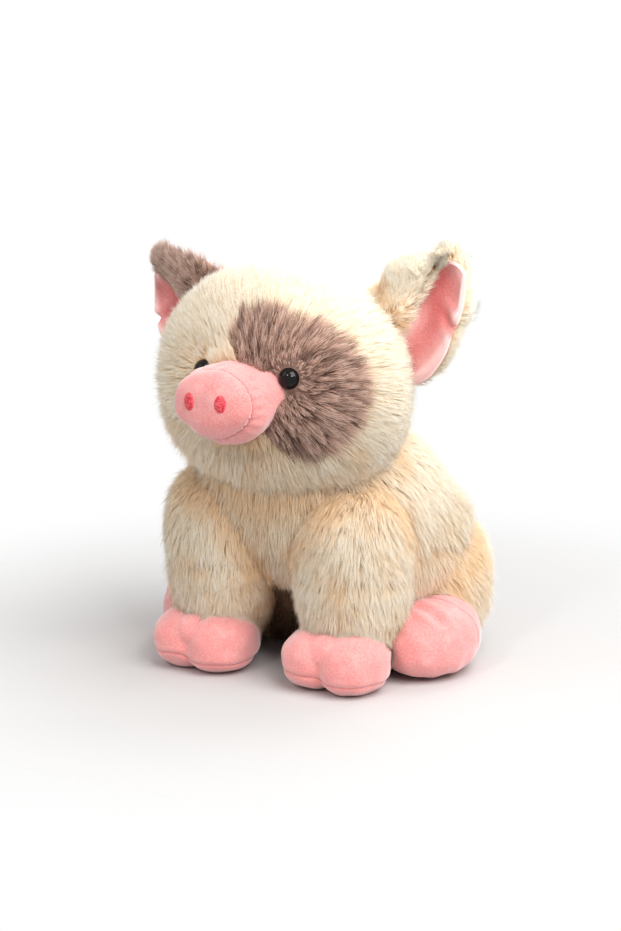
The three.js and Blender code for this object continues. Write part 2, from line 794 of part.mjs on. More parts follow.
// A round tube that tapers along a curve, with a flat end at each side
function taperedTube(curve, startRadius, endRadius, steps, sides) {
  const { normals, binormals } = curve.computeFrenetFrames(steps);
  const points = [];
  const index = [];
  for (let step = 0; step <= steps; step += 1) {
    const middle = curve.getPointAt(step / steps);
    const radius = THREE.MathUtils.lerp(startRadius, endRadius, step / steps);
    for (let side = 0; side < sides; side += 1) {
      const angle = (side / sides) * 2 * Math.PI;
      points.push(middle.clone()
        .addScaledVector(normals[step], radius * Math.cos(angle))
        .addScaledVector(binormals[step], radius * Math.sin(angle)));
    }
  }
  for (let side = 0; side < sides; side += 1) {
    const next = (side + 1) % sides;
    for (let step = 0; step < steps; step += 1) {
      const [a, b] = [step * sides + side, step * sides + next];
      index.push(a, b, a + sides, b, b + sides, a + sides);
    }
    if (side > 0 && side < sides - 1) {
      index.push(0, next, side);
      index.push(steps * sides, steps * sides + side, steps * sides + next);
    }
  }
  const geometry = new THREE.BufferGeometry().setFromPoints(points);
  geometry.setIndex(index);
  return solidOf(geometry);
}

// Tail: a round root in the torso's skin, a short neck and a rising curl
function tailPieces() {
  const root = torsoForm.at(1 / 4, torsoForm.fallAt(tailRise - torsoHeight / 2));
  root.y -= tailSink;
  const path = [root.clone(), root.clone().setY(root.y + tailNeck)];
  for (let step = 1; step <= tailSteps; step += 1) {
    const angle = (step / tailSteps) * tailTurns * 2 * Math.PI;
    path.push(root.clone().add(new THREE.Vector3(
      tailCurlWidth * angle / (2 * Math.PI),
      tailNeck + tailCurlRadius * Math.sin(angle),
      tailCurlRadius * (1 - Math.cos(angle)),
    )));
  }
  const curve = new THREE.CatmullRomCurve3(path);
  const tube = taperedTube(curve, tailNeckRadius, tailTipRadius, tailSteps, tailSides);
  const ballOf = (radius) => {
    const ball = new THREE.SphereGeometry(radius, roundSides, roundSides / 2);
    return solidOf(ball.translate(root.x, root.y, root.z));
  };
  return {
    tail: joined(tube, ballOf(tailRootRadius)),
    socket: ballOf(tailRootRadius + rootGap),
  };
}

function pieceMesh(name, solid, finish) {
  const mesh = new THREE.Mesh(geometryOf(solid), new THREE.MeshStandardMaterial(finish));
  mesh.name = name;
  return mesh;
}

const toy = new THREE.Group();
toy.add(head);

// Head, eyes, patch, snout and ears in the head's frame
const leftEye = eyePlace(1);
const rightEye = eyePlace(-1);
const eyes = { left: leftEye, right: rightEye };
const leftSocket = moved(earRoot(earRootRadius + rootGap), onRoot(leftEarSweep));
const torsoAtHead = moved(torsoGrown, intoHead);
const wholeHeadSkin = cut(
  headOuter,
  headHollow,
  torsoAtHead,
  eyeRoom(leftEye).skin,
  eyeRoom(rightEye).skin,
  leftSocket,
  mirrored(leftSocket),
);
head.add(pieceMesh('head_skin', cut(wholeHeadSkin, patchPrism(sewnGap)), creamFur));
head.add(pieceMesh('eye_patch', wholeHeadSkin.intersect(patchPrism(0)), brownFur));
head.add(pieceMesh('head_stuffing', cut(
  headCore,
  eyeRoom(leftEye).stuffing,
  eyeRoom(rightEye).stuffing,
), stuffingFibre));
for (const [side, place] of Object.entries(eyes)) {
  head.add(pieceMesh(`${side}_eye`, eye(place), eyePlastic));
  head.add(pieceMesh(`${side}_eye_washer`, washer(place), washerPlastic));
}
const snoutFinish = { snout_band: pinkVelboa, snout_disc: pinkVelboa, snout_stuffing: stuffingFibre };
for (const [name, solid] of Object.entries(snoutPieces())) {
  head.add(pieceMesh(name, solid, snoutFinish[name]));
}
head.add(pieceMesh('left_nostril', nostril(1), nostrilThread));
head.add(pieceMesh('right_nostril', nostril(-1), nostrilThread));
const leftEar = earPieces(leftEarSkew, leftEarSweep);
const rightEar = earPieces(rightEarSkew, rightEarSweep);
head.add(pieceMesh('left_ear_back', leftEar.back, creamFur));
head.add(pieceMesh('left_ear_lining', leftEar.lining, pinkVelboa));
head.add(pieceMesh('right_ear_back', mirrored(rightEar.back), brownFur));
head.add(pieceMesh('right_ear_lining', mirrored(rightEar.lining), pinkVelboa));

// Torso and tail
const curl = tailPieces();
const torsoFinish = {
  torso_skin: creamFur,
  torso_stuffing: stuffingFibre,
  pellet_pouch: pouchCotton,
};
for (const [name, solid] of Object.entries(torsoPieces(curl.socket))) {
  toy.add(pieceMesh(name, solid, torsoFinish[name]));
}
toy.add(pieceMesh('tail', curl.tail, pinkVelboa));

// Limbs
const limbs = [
  { make: frontLeg, names: { sleeve: 'front_leg', stuffing: 'front_leg_stuffing',
    foot: 'front_hoof', sole: 'front_sole' } },
  { make: hindLeg, names: { sleeve: 'thigh', stuffing: 'hind_leg_stuffing',
    foot: 'hind_foot', sole: 'hind_sole' } },
];
const limbFinish = {
  sleeve: creamFur,
  stuffing: stuffingFibre,
  foot: pinkVelboa,
  sole: pinkVelboa,
};
for (const [sideName, side] of Object.entries({ left: 1, right: -1 })) {
  for (const { make, names } of limbs) {
    for (const [kind, solid] of Object.entries(make(side))) {
      toy.add(pieceMesh(`${sideName}_${names[kind]}`, solid, limbFinish[kind]));
    }
  }
}

export default toy;
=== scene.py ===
import json
import math

import bmesh
import bpy
import numpy as np
from mathutils import Matrix, Vector
from mathutils.kdtree import KDTree


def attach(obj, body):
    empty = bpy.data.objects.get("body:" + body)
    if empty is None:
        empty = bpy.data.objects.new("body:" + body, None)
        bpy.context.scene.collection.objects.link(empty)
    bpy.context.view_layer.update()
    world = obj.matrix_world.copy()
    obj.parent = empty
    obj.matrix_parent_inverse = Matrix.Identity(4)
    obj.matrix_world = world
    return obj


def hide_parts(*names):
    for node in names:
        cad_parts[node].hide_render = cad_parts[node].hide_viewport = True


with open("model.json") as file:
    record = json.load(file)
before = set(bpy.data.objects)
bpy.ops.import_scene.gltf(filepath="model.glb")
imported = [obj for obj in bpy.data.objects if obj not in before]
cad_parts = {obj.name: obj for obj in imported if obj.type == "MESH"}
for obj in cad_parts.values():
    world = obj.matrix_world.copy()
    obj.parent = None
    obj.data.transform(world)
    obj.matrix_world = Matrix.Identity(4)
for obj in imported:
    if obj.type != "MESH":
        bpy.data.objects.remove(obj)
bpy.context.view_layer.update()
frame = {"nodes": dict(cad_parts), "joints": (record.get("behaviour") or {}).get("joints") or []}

# A plush pig that sits like a dog, in metres, +Z up. It faces -Y and its own left side is +X.
up = np.array([0.0, 0.0, 1.0])

# Camera, where the picture was taken from
camera = {
    "azimuth": 30.0,
    "elevation": 11.5,
    "distance": 1.419,
    "target": (-0.0007, -0.0524, 0.132),
    "lens": 82.25,
    "sensor": 36.0,
}


def addObject(data):
    obj = bpy.data.objects.new(data.name, data)
    bpy.context.collection.objects.link(obj)
    return obj


def placeAndAim(obj, place, target):
    obj.location = place
    obj.rotation_mode = "QUATERNION"
    obj.rotation_quaternion = (Vector(target) - Vector(place)).to_track_quat("-Z", "Y")


def addCamera():
    azimuth, elevation = math.radians(camera["azimuth"]), math.radians(camera["elevation"])
    back = Vector((
        math.sin(azimuth) * math.cos(elevation),
        -math.cos(azimuth) * math.cos(elevation),
        math.sin(elevation),
    ))
    data = bpy.data.cameras.new("studioCamera")
    data.lens, data.sensor_width = camera["lens"], camera["sensor"]
    obj = addObject(data)
    target = Vector(camera["target"])
    placeAndAim(obj, target + back * camera["distance"], target)
    bpy.context.scene.camera = obj


addCamera()
print("camera placed")


# Small helpers for arrays of points
def unit(vectors):
    length = np.linalg.norm(vectors, axis=-1, keepdims=True)
    return vectors / np.maximum(length, 1e-12)


def flatTo(vectors, normals):
    along = (vectors * normals).sum(-1, keepdims=True)
    return unit(vectors - normals * along)


def smoothStep(low, high, values):
    share = np.clip((values - low) / (high - low), 0, 1)
    return share * share * (3 - 2 * share)


def mixed(first, second, share):
    return first + (second - first) * share


# A soft field that wanders between -1 and 1, for whorls and uneven pile
def wander(points, size, seed, waves=7):
    rng = np.random.default_rng(seed)
    total = np.zeros(points.shape[:-1])
    for _ in range(waves):
        way = unit(rng.normal(size=3)) * rng.uniform(0.6, 1.6) * 2 * math.pi / size
        total += np.sin(points @ way + rng.uniform(0, 2 * math.pi))
    return total / math.sqrt(waves / 2) / 1.6


# Stuffed forms. Each is an oval that may be squarer above and below its widest level (round),
# narrower at the top (narrow), drawn in under the belly (tuck), leaning and bowed (lean, bow)
def form(middle, halfWidth, front, back, top, bottom, topRound=2.0, bottomRound=2.0,
         narrow=0.0, tuck=0.0, lean=0.0, bow=0.0, splay=0.0, carrier=None):
    turn = np.array(Matrix.Rotation(math.radians(splay), 3, "Z"))
    place = np.array(middle, dtype=float)
    if carrier is not None:
        turn = carrier[:3, :3] @ turn
        place = carrier[:3, :3] @ place + carrier[:3, 3]
    return dict(turn=turn, place=place, halfWidth=halfWidth, front=front, back=back, top=top,
                bottom=bottom, topRound=topRound, bottomRound=bottomRound, narrow=narrow,
                tuck=tuck, lean=lean, bow=bow)


def formPoints(shape, turn, fall):
    angle = turn * 2 * math.pi
    lift = np.cos(fall * math.pi)
    rounding = np.where(lift > 0, shape["topRound"], shape["bottomRound"])
    height = np.sign(lift) * np.abs(lift) ** (2 / rounding)
    swell = np.abs(np.sin(fall * math.pi)) ** (2 / rounding) * (1 - shape["narrow"] * height)
    tucked = shape["front"] * (1 - shape["tuck"] * np.maximum(0, -height) ** 1.5)
    reach = np.where(np.sin(angle) < 0, tucked, shape["back"])
    spine = shape["bow"] * (1 - height**2) - shape["lean"] * (1 + height)
    local = np.stack([
        shape["halfWidth"] * swell * np.cos(angle),
        reach * swell * np.sin(angle) + spine,
        np.where(height > 0, shape["top"], shape["bottom"]) * height,
    ], axis=-1)
    return local @ shape["turn"].T + shape["place"]


def formNormals(shape, turn, fall, step=0.004):
    fall = np.clip(fall, 0.012, 0.988)
    round_ = formPoints(shape, turn + step, fall) - formPoints(shape, turn - step, fall)
    down = formPoints(shape, turn, fall + step) - formPoints(shape, turn, fall - step)
    return unit(np.cross(down, round_))


# Below 1 inside the form, 1 on its skin, and growing outwards
def formLevel(shape, points):
    local = (points - shape["place"]) @ shape["turn"]
    height = local[..., 2] / np.where(local[..., 2] > 0, shape["top"], shape["bottom"])
    held = np.clip(height, -1, 1)
    rounding = np.where(height > 0, shape["topRound"], shape["bottomRound"])
    side = local[..., 1] - shape["bow"] * (1 - held**2) + shape["lean"] * (1 + held)
    tucked = shape["front"] * (1 - shape["tuck"] * np.maximum(0, -held) ** 1.5)
    reach = np.where(side < 0, tucked, shape["back"])
    ratio = np.hypot(local[..., 0] / shape["halfWidth"], side / reach)
    ratio = ratio / (1 - shape["narrow"] * held)
    return (np.abs(height) ** rounding + ratio**rounding) ** (1 / rounding)


# Random places on a form, evenly thick over its area
def scatter(shape, count, rng, sides=90, rings=60):
    turns, falls = np.meshgrid(np.arange(sides) / sides, np.arange(rings) / rings, indexing="ij")
    corner = formPoints(shape, turns, falls)
    across = formPoints(shape, turns + 1 / sides, falls) - corner
    down = formPoints(shape, turns, falls + 1 / rings) - corner
    area = np.linalg.norm(np.cross(across, down), axis=-1).ravel()
    cells = rng.choice(area.size, size=count, p=area / area.sum())
    turn = (cells // rings + rng.random(count)) / sides
    fall = (cells % rings + rng.random(count)) / rings
    return turn, np.clip(fall, 0.004, 0.996)


# Meshes from arrays
def addMesh(name, points, faces):
    mesh = bpy.data.meshes.new(name)
    mesh.from_pydata(np.asarray(points).tolist(), [], [tuple(face) for face in faces])
    mesh.validate()
    mesh.shade_smooth()
    return addObject(mesh)


def anglesRound(sides):
    return np.arange(sides) / sides * 2 * math.pi


def gridFaces(rows, columns, wrap=True):
    faces = []
    for row in range(rows - 1):
        for column in range(columns if wrap else columns - 1):
            beside = (column + 1) % columns
            faces.append((row * columns + column, (row + 1) * columns + column,
                          (row + 1) * columns + beside, row * columns + beside))
    return faces


# A second layer of the same points, numbered after the first and facing the other way
def backFaces(faces, size):
    return [tuple(corner + size for corner in face[::-1]) for face in faces]


# Rows of points round an axis, closed by the points numbered start and end
def tubeFaces(rows, sides, start, end, inward=False):
    faces = gridFaces(rows, sides)
    last = (rows - 1) * sides
    for side in range(sides):
        beside = (side + 1) % sides
        faces += [(side, beside, start), (last + beside, last + side, end)]
    return [face[::-1] for face in faces] if inward else faces


# A closed pad: rings of points round a middle one, first in front and then behind
def padFaces(rings, sides):
    size = rings * sides + 1
    faces = gridFaces(rings, sides)
    faces += [(size - 1, index, (index + 1) % sides) for index in range(sides)]
    faces += backFaces(faces, size)
    last = (rings - 1) * sides
    for index in range(sides):
        beside = (index + 1) % sides
        faces.append((last + index, last + index + size, last + beside + size, last + beside))
    return faces


# A closed skin round a form, moved in or out by grow
def formMesh(shape, sides, rings, grow=0.0):
    falls, turns = np.meshgrid(np.arange(1, rings) / rings, np.arange(sides) / sides,
                               indexing="ij")
    points = formPoints(shape, turns, falls) + formNormals(shape, turns, falls) * grow
    points = points.reshape(-1, 3)
    poles = [formPoints(shape, np.array(0.0), np.array(fall)) for fall in (0.0, 1.0)]
    lift = shape["turn"][:, 2] * grow
    points = np.vstack([points, poles[0] + lift, poles[1] - lift])
    return points, tubeFaces(rings - 1, sides, len(points) - 2, len(points) - 1)


def joinedMesh(parts):
    points, faces, start = [], [], 0
    for partPoints, partFaces in parts:
        points.append(partPoints)
        faces += [tuple(index + start for index in face) for face in partFaces]
        start += len(partPoints)
    return np.vstack(points), faces


def remeshed(obj, voxel, smoothing):
    modifier = obj.modifiers.new("remesh", "REMESH")
    modifier.mode, modifier.voxel_size = "VOXEL", voxel
    relax = obj.modifiers.new("relax", "SMOOTH")
    relax.factor, relax.iterations = 0.5, smoothing
    evaluated = obj.evaluated_get(bpy.context.evaluated_depsgraph_get())
    mesh = bpy.data.meshes.new_from_object(evaluated)
    obj.modifiers.clear()
    obj.data = mesh
    mesh.shade_smooth()


def meshArrays(obj):
    mesh = obj.data
    points = np.empty(len(mesh.vertices) * 3)
    normals = np.empty(len(mesh.vertices) * 3)
    mesh.vertices.foreach_get("co", points)
    mesh.vertices.foreach_get("normal", normals)
    return points.reshape(-1, 3), normals.reshape(-1, 3)


# What the cloth's material reads at each point: how far it is from a stitched seam, and how
# deep it lies in a hollow, where its colour is darkened as painted shade, or below zero how far
# it lies out on a roll, where its colour is made paler as painted light
def markCloth(obj, seamGap=1.0, hollow=0.0):
    for name, values in (("seamGap", seamGap), ("hollow", hollow)):
        layer = obj.data.attributes.new(name, "FLOAT", "POINT")
        spread = np.broadcast_to(values, len(obj.data.vertices))
        layer.data.foreach_set("value", spread.astype(np.float32))


def setPoints(obj, points):
    obj.data.vertices.foreach_set("co", np.asarray(points).ravel())
    obj.data.update()


# Node groups that more than one material uses
def addGroup(name, inputs, outputs):
    group = bpy.data.node_groups.new(name, "ShaderNodeTree")
    for socket, kind, value in inputs:
        made = group.interface.new_socket(socket, in_out="INPUT", socket_type=kind)
        made.default_value = value
    for socket, kind in outputs:
        group.interface.new_socket(socket, in_out="OUTPUT", socket_type=kind)
    return group, group.nodes.new("NodeGroupInput"), group.nodes.new("NodeGroupOutput")


# A node whose inputs are given by name or number, each as a value or as another node's output
def addNode(tree, kind, inputs=(), **settings):
    node = tree.nodes.new(f"ShaderNode{kind}")
    for setting, value in settings.items():
        setattr(node, setting, value)
    for socket, value in dict(inputs).items():
        if isinstance(value, bpy.types.NodeSocket):
            tree.links.new(value, node.inputs[socket])
        else:
            node.inputs[socket].default_value = value
    return node


def mixColour(tree, share, first, second, blend="MIX"):
    return addNode(tree, "Mix", {0: share, 6: first, 7: second}, data_type="RGBA",
                   blend_type=blend).outputs[2]


def rangeOf(tree, value, low, high, toLow=0.0, toHigh=1.0):
    return addNode(tree, "MapRange", {0: value, 1: low, 2: high, 3: toLow, 4: toHigh},
                   interpolation_type="SMOOTHSTEP").outputs[0]


# Colour of one hair: root to tip along it, the darker root being painted shade deep in the pile,
# and towards the shade colour by the lock's random tone and by the painted shade that it is given
def makeHairColour():
    group, given, result = addGroup("hairColour", [
        ("Along", "NodeSocketFloat", 0.5), ("Tone", "NodeSocketFloat", 0.5),
        ("Root", "NodeSocketColor", (0.4, 0.3, 0.2, 1)),
        ("Middle", "NodeSocketColor", (0.7, 0.6, 0.5, 1)),
        ("Tip", "NodeSocketColor", (0.9, 0.85, 0.8, 1)),
        ("Shade", "NodeSocketColor", (0.4, 0.3, 0.2, 1)),
    ], [("Color", "NodeSocketColor")])
    along, tone, root, middle, tip, shade = given.outputs[:6]
    lower = mixColour(group, rangeOf(group, along, 0.0, 0.55), root, middle)
    whole = mixColour(group, rangeOf(group, along, 0.5, 1.0), lower, tip)
    shaded = mixColour(group, rangeOf(group, tone, 0.0, 0.6, 0.85, 0.0), whole, shade)
    group.links.new(shaded, result.inputs["Color"])
    return group


# Short velvety pile: cloudy colour where the pile is brushed, and a fine height
def makeVelboaNap():
    group, given, result = addGroup("velboaNap", [
        ("Vector", "NodeSocketVector", (0, 0, 0)),
        ("Colour", "NodeSocketColor", (0.9, 0.4, 0.4, 1)),
        ("Deep", "NodeSocketColor", (0.8, 0.3, 0.3, 1)),
        ("Pale", "NodeSocketColor", (1, 0.6, 0.6, 1)),
        ("Pile Scale", "NodeSocketFloat", 900.0),
        ("Cloud Scale", "NodeSocketFloat", 70.0),
        ("Grain", "NodeSocketFloat", 0.45),
    ], [("Color", "NodeSocketColor"), ("Height", "NodeSocketFloat")])
    vector, colour, deep, pale, pileScale, cloudScale, grain = given.outputs[:7]
    cloud, pile = (addNode(group, "TexNoise", {
        "Vector": vector, "Scale": scale, "Detail": detail, "Roughness": 0.6,
    }).outputs[0] for scale, detail in ((cloudScale, 3.0), (pileScale, 2.0)))
    deepened = mixColour(group, rangeOf(group, cloud, 0.5, 0.25, 0.0, 0.5), colour, deep)
    brushed = mixColour(group, rangeOf(group, cloud, 0.5, 0.8, 0.0, 0.5), deepened, pale)
    speckles = addNode(group, "Math", {0: rangeOf(group, pile, 0.38, 0.68), 1: grain},
                       operation="MULTIPLY")
    speckled = mixColour(group, speckles.outputs[0], brushed, pale)
    group.links.new(speckled, result.inputs["Color"])
    group.links.new(pile, result.inputs["Height"])
    return group


hairColour = makeHairColour()
velboaNap = makeVelboaNap()


def newMaterial(name, roughness, **plain):
    material = bpy.data.materials.new(name)
    material.use_nodes = True
    shader = material.node_tree.nodes["Principled BSDF"]
    shader.inputs["Roughness"].default_value = roughness
    for socket, value in plain.items():
        shader.inputs[socket.replace("_", " ")].default_value = value
    return material, material.node_tree, shader


def hairMaterial(name, colours):
    material, tree, shader = newMaterial(name, 0.62, Specular_IOR_Level=0.2)
    place = addNode(tree, "UVMap", uv_map="OFBake")
    split = addNode(tree, "SeparateXYZ", {0: place.outputs[0]})
    hair = addNode(tree, "Group", node_tree=hairColour)
    tree.links.new(split.outputs[0], hair.inputs["Tone"])
    tree.links.new(split.outputs[1], hair.inputs["Along"])
    for socket, colour in colours.items():
        hair.inputs[socket].default_value = (*colour, 1)
    tree.links.new(hair.outputs["Color"], shader.inputs["Base Color"])
    return material


# Cloth with a short pile. Where it is sewn it is deeper in colour in a hollow, painted shade, and
# paler over a roll, painted light; and the pile parts over a seam and is darker there
def clothMaterial(name, colour, deep, pale, pileScale=900.0, cloudScale=70.0, bump=0.35,
                  roughness=0.8, sheen=0.5, grain=0.45, sewn=None):
    material, tree, shader = newMaterial(
        name, roughness, Specular_IOR_Level=0.2, Sheen_Weight=sheen, Sheen_Roughness=0.5,
        Sheen_Tint=(1.0, 0.93, 0.93, 1.0))
    nap = addNode(tree, "Group", node_tree=velboaNap)
    place = addNode(tree, "TexCoord")
    tree.links.new(place.outputs["Object"], nap.inputs["Vector"])
    for socket, value in (("Colour", (*colour, 1)), ("Deep", (*deep, 1)), ("Pale", (*pale, 1)),
                          ("Pile Scale", pileScale), ("Cloud Scale", cloudScale),
                          ("Grain", grain)):
        nap.inputs[socket].default_value = value
    shown = nap.outputs["Color"]
    normal = addNode(tree, "Bump", {"Strength": bump, "Distance": 0.0004,
                                    "Height": nap.outputs["Height"]}).outputs[0]
    if sewn:
        hollow = addNode(tree, "Attribute", attribute_name="hollow").outputs["Fac"]
        palest = (*[min(0.92, part * 1.25) for part in pale], 1)
        shown = mixColour(tree, rangeOf(tree, hollow, 0.0, 1.0), shown, (*deep, 1), "MULTIPLY")
        shown = mixColour(tree, rangeOf(tree, hollow, 0.0, -1.0), shown, palest)
        gap = addNode(tree, "Attribute", attribute_name="seamGap").outputs["Fac"]
        away = addNode(tree, "Math", {0: gap}, operation="ABSOLUTE").outputs[0]
        near = rangeOf(tree, away, 0.0002, 0.0010, 0.5, 0.0)
        shown = mixColour(tree, near, shown, (*sewn, 1))
        normal = addNode(tree, "Bump", {"Strength": 0.8, "Distance": 0.0008, "Height": near,
                                        "Normal": normal}, invert=True).outputs[0]
    tree.links.new(normal, shader.inputs["Normal"])
    tree.links.new(shown, shader.inputs["Base Color"])
    return material


# Root colours are darker as painted shade deep in the pile; the Shade colours are what the darker
# locks and the painted shade in creases and under the head mix towards
creamHair = hairMaterial("creamHair", {
    "Root": (0.90, 0.56, 0.30), "Middle": (0.99, 0.82, 0.59),
    "Tip": (0.99, 0.95, 0.84), "Shade": (0.92, 0.61, 0.34)})
# A copy of the cream hair with less of the painted shade at the root
rimHair = hairMaterial("rimHair", {  # round an ear, where the whole of a hair is seen
    "Root": (0.90, 0.72, 0.50), "Middle": (0.95, 0.84, 0.68),
    "Tip": (0.99, 0.95, 0.86), "Shade": (0.90, 0.70, 0.48)})
# Painted shadow: a dark brown copy of the cream hair, for where shade falls
shadedHair = hairMaterial("shadedHair", {  # in the arch between the front legs
    "Root": (0.20, 0.11, 0.06), "Middle": (0.34, 0.20, 0.115),
    "Tip": (0.52, 0.35, 0.22), "Shade": (0.15, 0.08, 0.045)})
brownHair = hairMaterial("brownHair", {
    "Root": (0.17, 0.078, 0.050), "Middle": (0.53, 0.315, 0.235),
    "Tip": (0.90, 0.66, 0.55), "Shade": (0.11, 0.055, 0.038)})
creamBacking = clothMaterial("creamBacking", (0.90, 0.68, 0.42), (0.84, 0.59, 0.34),
                             (0.94, 0.76, 0.52), sheen=0.1)
brownBacking = clothMaterial("brownBacking", (0.20, 0.12, 0.095), (0.15, 0.085, 0.065),
                             (0.26, 0.17, 0.14), sheen=0.1)
pinkVelboa = clothMaterial("pinkVelboa", (0.74, 0.245, 0.23), (0.68, 0.17, 0.16),
                           (0.82, 0.44, 0.42), bump=0.7, sheen=0.75, sewn=(0.52, 0.10, 0.10))
stuffingFibre = clothMaterial("stuffingFibre", (0.86, 0.86, 0.84), (0.76, 0.76, 0.75),
                              (0.93, 0.93, 0.92), pileScale=300.0, cloudScale=40.0, sheen=0.2)
pouchCotton = clothMaterial("pouchCotton", (0.66, 0.62, 0.53), (0.58, 0.54, 0.45),
                            (0.74, 0.70, 0.62), pileScale=1400.0, cloudScale=50.0, sheen=0.1)
washerNylon = clothMaterial("washerNylon", (0.84, 0.84, 0.82), (0.76, 0.76, 0.74),
                            (0.90, 0.90, 0.89), pileScale=500.0, bump=0.05, roughness=0.4,
                            sheen=0.0)
nostrilThread = clothMaterial("nostrilThread", (0.62, 0.030, 0.050), (0.34, 0.010, 0.022),
                              (0.88, 0.15, 0.17), pileScale=700.0, cloudScale=900.0, bump=0.6,
                              roughness=0.45, sheen=0.15, grain=1.2)
print("materials made")


def finishPiece(obj, body, material, replaced=()):
    obj.data.materials.clear()
    obj.data.materials.append(material)
    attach(obj, body)
    if replaced:
        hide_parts(*replaced)


# Strands of fur. Each is a closed, three-sided, tapering hair, and the hairs of a lock lean
# together towards the lock's own tip
strand = {
    "rings": (0.0, 0.52),
    "taper": (1.0, 0.74),
    "mostPerPiece": 19000,
    "sideWidth": 0.006,  # what one side of a hair takes in the map across
    "roundness": 0.5,  # how far a hair is lit as a round thing, and not as part of the pile
    "lengths": (0.72, 1.12),  # shares of a pile's length and width, shortest and longest
    "widths": (0.7, 1.2),
    "quickWidth": 1.9,
    "loose": 0.08,  # the share of single hairs that stand out of their lock
    "looseLength": 0.12,
    "looseStand": 0.28,
    "lowest": 0.0006,  # above the floor
}


def strandFaces():
    corners, along, across = [], [], []
    places = (*strand["rings"], 1.0)

    def add(*loop):
        for index, step, side in loop:
            corners.append(index)
            along.append(places[step])
            across.append(side)

    add((0, 0, 0), (2, 0, 1), (1, 0, 2))
    along[1] += 0.02  # so that the hidden end has some width in the map
    for ring in range(len(strand["rings"]) - 1):
        for side in range(3):
            a, b = 3 * ring + side, 3 * ring + (side + 1) % 3
            add((a, ring, side), (b, ring, side + 1), (b + 3, ring + 1, side + 1))
            add((a, ring, side), (b + 3, ring + 1, side + 1), (a + 3, ring + 1, side))
    last = len(strand["rings"]) - 1
    for side in range(3):
        add((3 * last + side, last, side), (3 * last + (side + 1) % 3, last, side + 1),
            (3 * last + 3, last + 1, side + 0.5))
    return np.array(corners), np.array(along), np.array(across, dtype=float)


def addStrands(name, paths, widths, tones, sideways, facing, roundness, material, body):
    corners, along, across = strandFaces()
    count, steps = paths.shape[:2]
    tangent = unit(paths[:, -1] - paths[:, 0])
    first = flatTo(sideways, tangent)
    second = np.cross(tangent, first)
    rings, shading = [], []
    for ring, share in enumerate(strand["taper"]):
        for side in range(3):
            angle = side * 2 * math.pi / 3
            way = first * math.cos(angle) + second * math.sin(angle)
            rings.append(paths[:, ring] + way * (widths * share / 2)[:, None])
            shading.append(unit(facing + way * roundness))
    points = np.stack([*rings, paths[:, steps - 1]], axis=1)
    shading = np.stack([*shading, facing], axis=1)
    perStrand = points.shape[1]
    total = math.ceil(count / strand["mostPerPiece"])
    for part in range(total):
        chosen = slice(part * count // total, (part + 1) * count // total)
        size = len(tones[chosen])
        mesh = bpy.data.meshes.new(f"{name}_{part + 1}")
        mesh.vertices.add(size * perStrand)
        mesh.vertices.foreach_set("co", points[chosen].astype(np.float32).ravel())
        loops = (corners[None, :] + np.arange(size)[:, None] * perStrand).ravel()
        mesh.loops.add(loops.size)
        mesh.loops.foreach_set("vertex_index", loops.astype(np.int32))
        mesh.polygons.add(loops.size // 3)
        mesh.polygons.foreach_set("loop_start", np.arange(0, loops.size, 3, dtype=np.int32))
        mesh.update(calc_edges=True)
        mesh.shade_smooth()
        mesh.normals_split_custom_set_from_vertices(shading[chosen].reshape(-1, 3))
        layer = mesh.uv_layers.new(name="OFBake")
        uv = np.empty((size, corners.size, 2), dtype=np.float32)
        uv[..., 0] = tones[chosen][:, None] * 0.97 + across * strand["sideWidth"]
        uv[..., 1] = along * 0.99
        layer.data.foreach_set("uv", uv.ravel())
        finishPiece(addObject(mesh), body, material)
    return total


def growPaths(roots, normals, comb, spec, rng, lengths, stand):
    count = len(roots)
    loose = rng.random(count) < strand["loose"]
    lengths = lengths * (1 + strand["looseLength"] * loose)
    stand = stand + strand["looseStand"] * loose
    jitter = unit(rng.normal(size=(count, 3)))
    comb = flatTo(comb + jitter * spec["jitter"], normals)
    lift = np.clip(spec["lift"] + stand + rng.normal(size=count) * 0.08, 0, 1.1)[:, None]
    begin = unit(normals * lift + comb * (1 - np.minimum(lift, 1)))
    end = unit(normals * spec["endLift"] + comb - up * spec["droop"] + jitter * 0.12)
    places = np.array([*strand["rings"], 1.0])[None, :, None]
    offsets = lengths[:, None, None] * (
        begin[:, None] * (places - places**2 / 2) + end[:, None] * places**2 / 2)
    paths = roots[:, None] + offsets
    # Locks: every hair is drawn to the path of the nearest leading hair
    leaders = rng.choice(count, max(1, count // spec["perLock"]), replace=False)
    tree = KDTree(len(leaders))
    for index, leader in enumerate(leaders):
        tree.insert(roots[leader], index)
    tree.balance()
    lock = np.array([tree.find(root)[1] for root in roots])
    drawn = (spec["pull"] * rng.uniform(0.6, 1.1, count) * ~loose)[:, None, None] * places**1.4
    paths = mixed(paths, paths[leaders[lock]], np.clip(drawn, 0, 0.95))
    return paths, rng.normal(size=len(leaders))[lock]


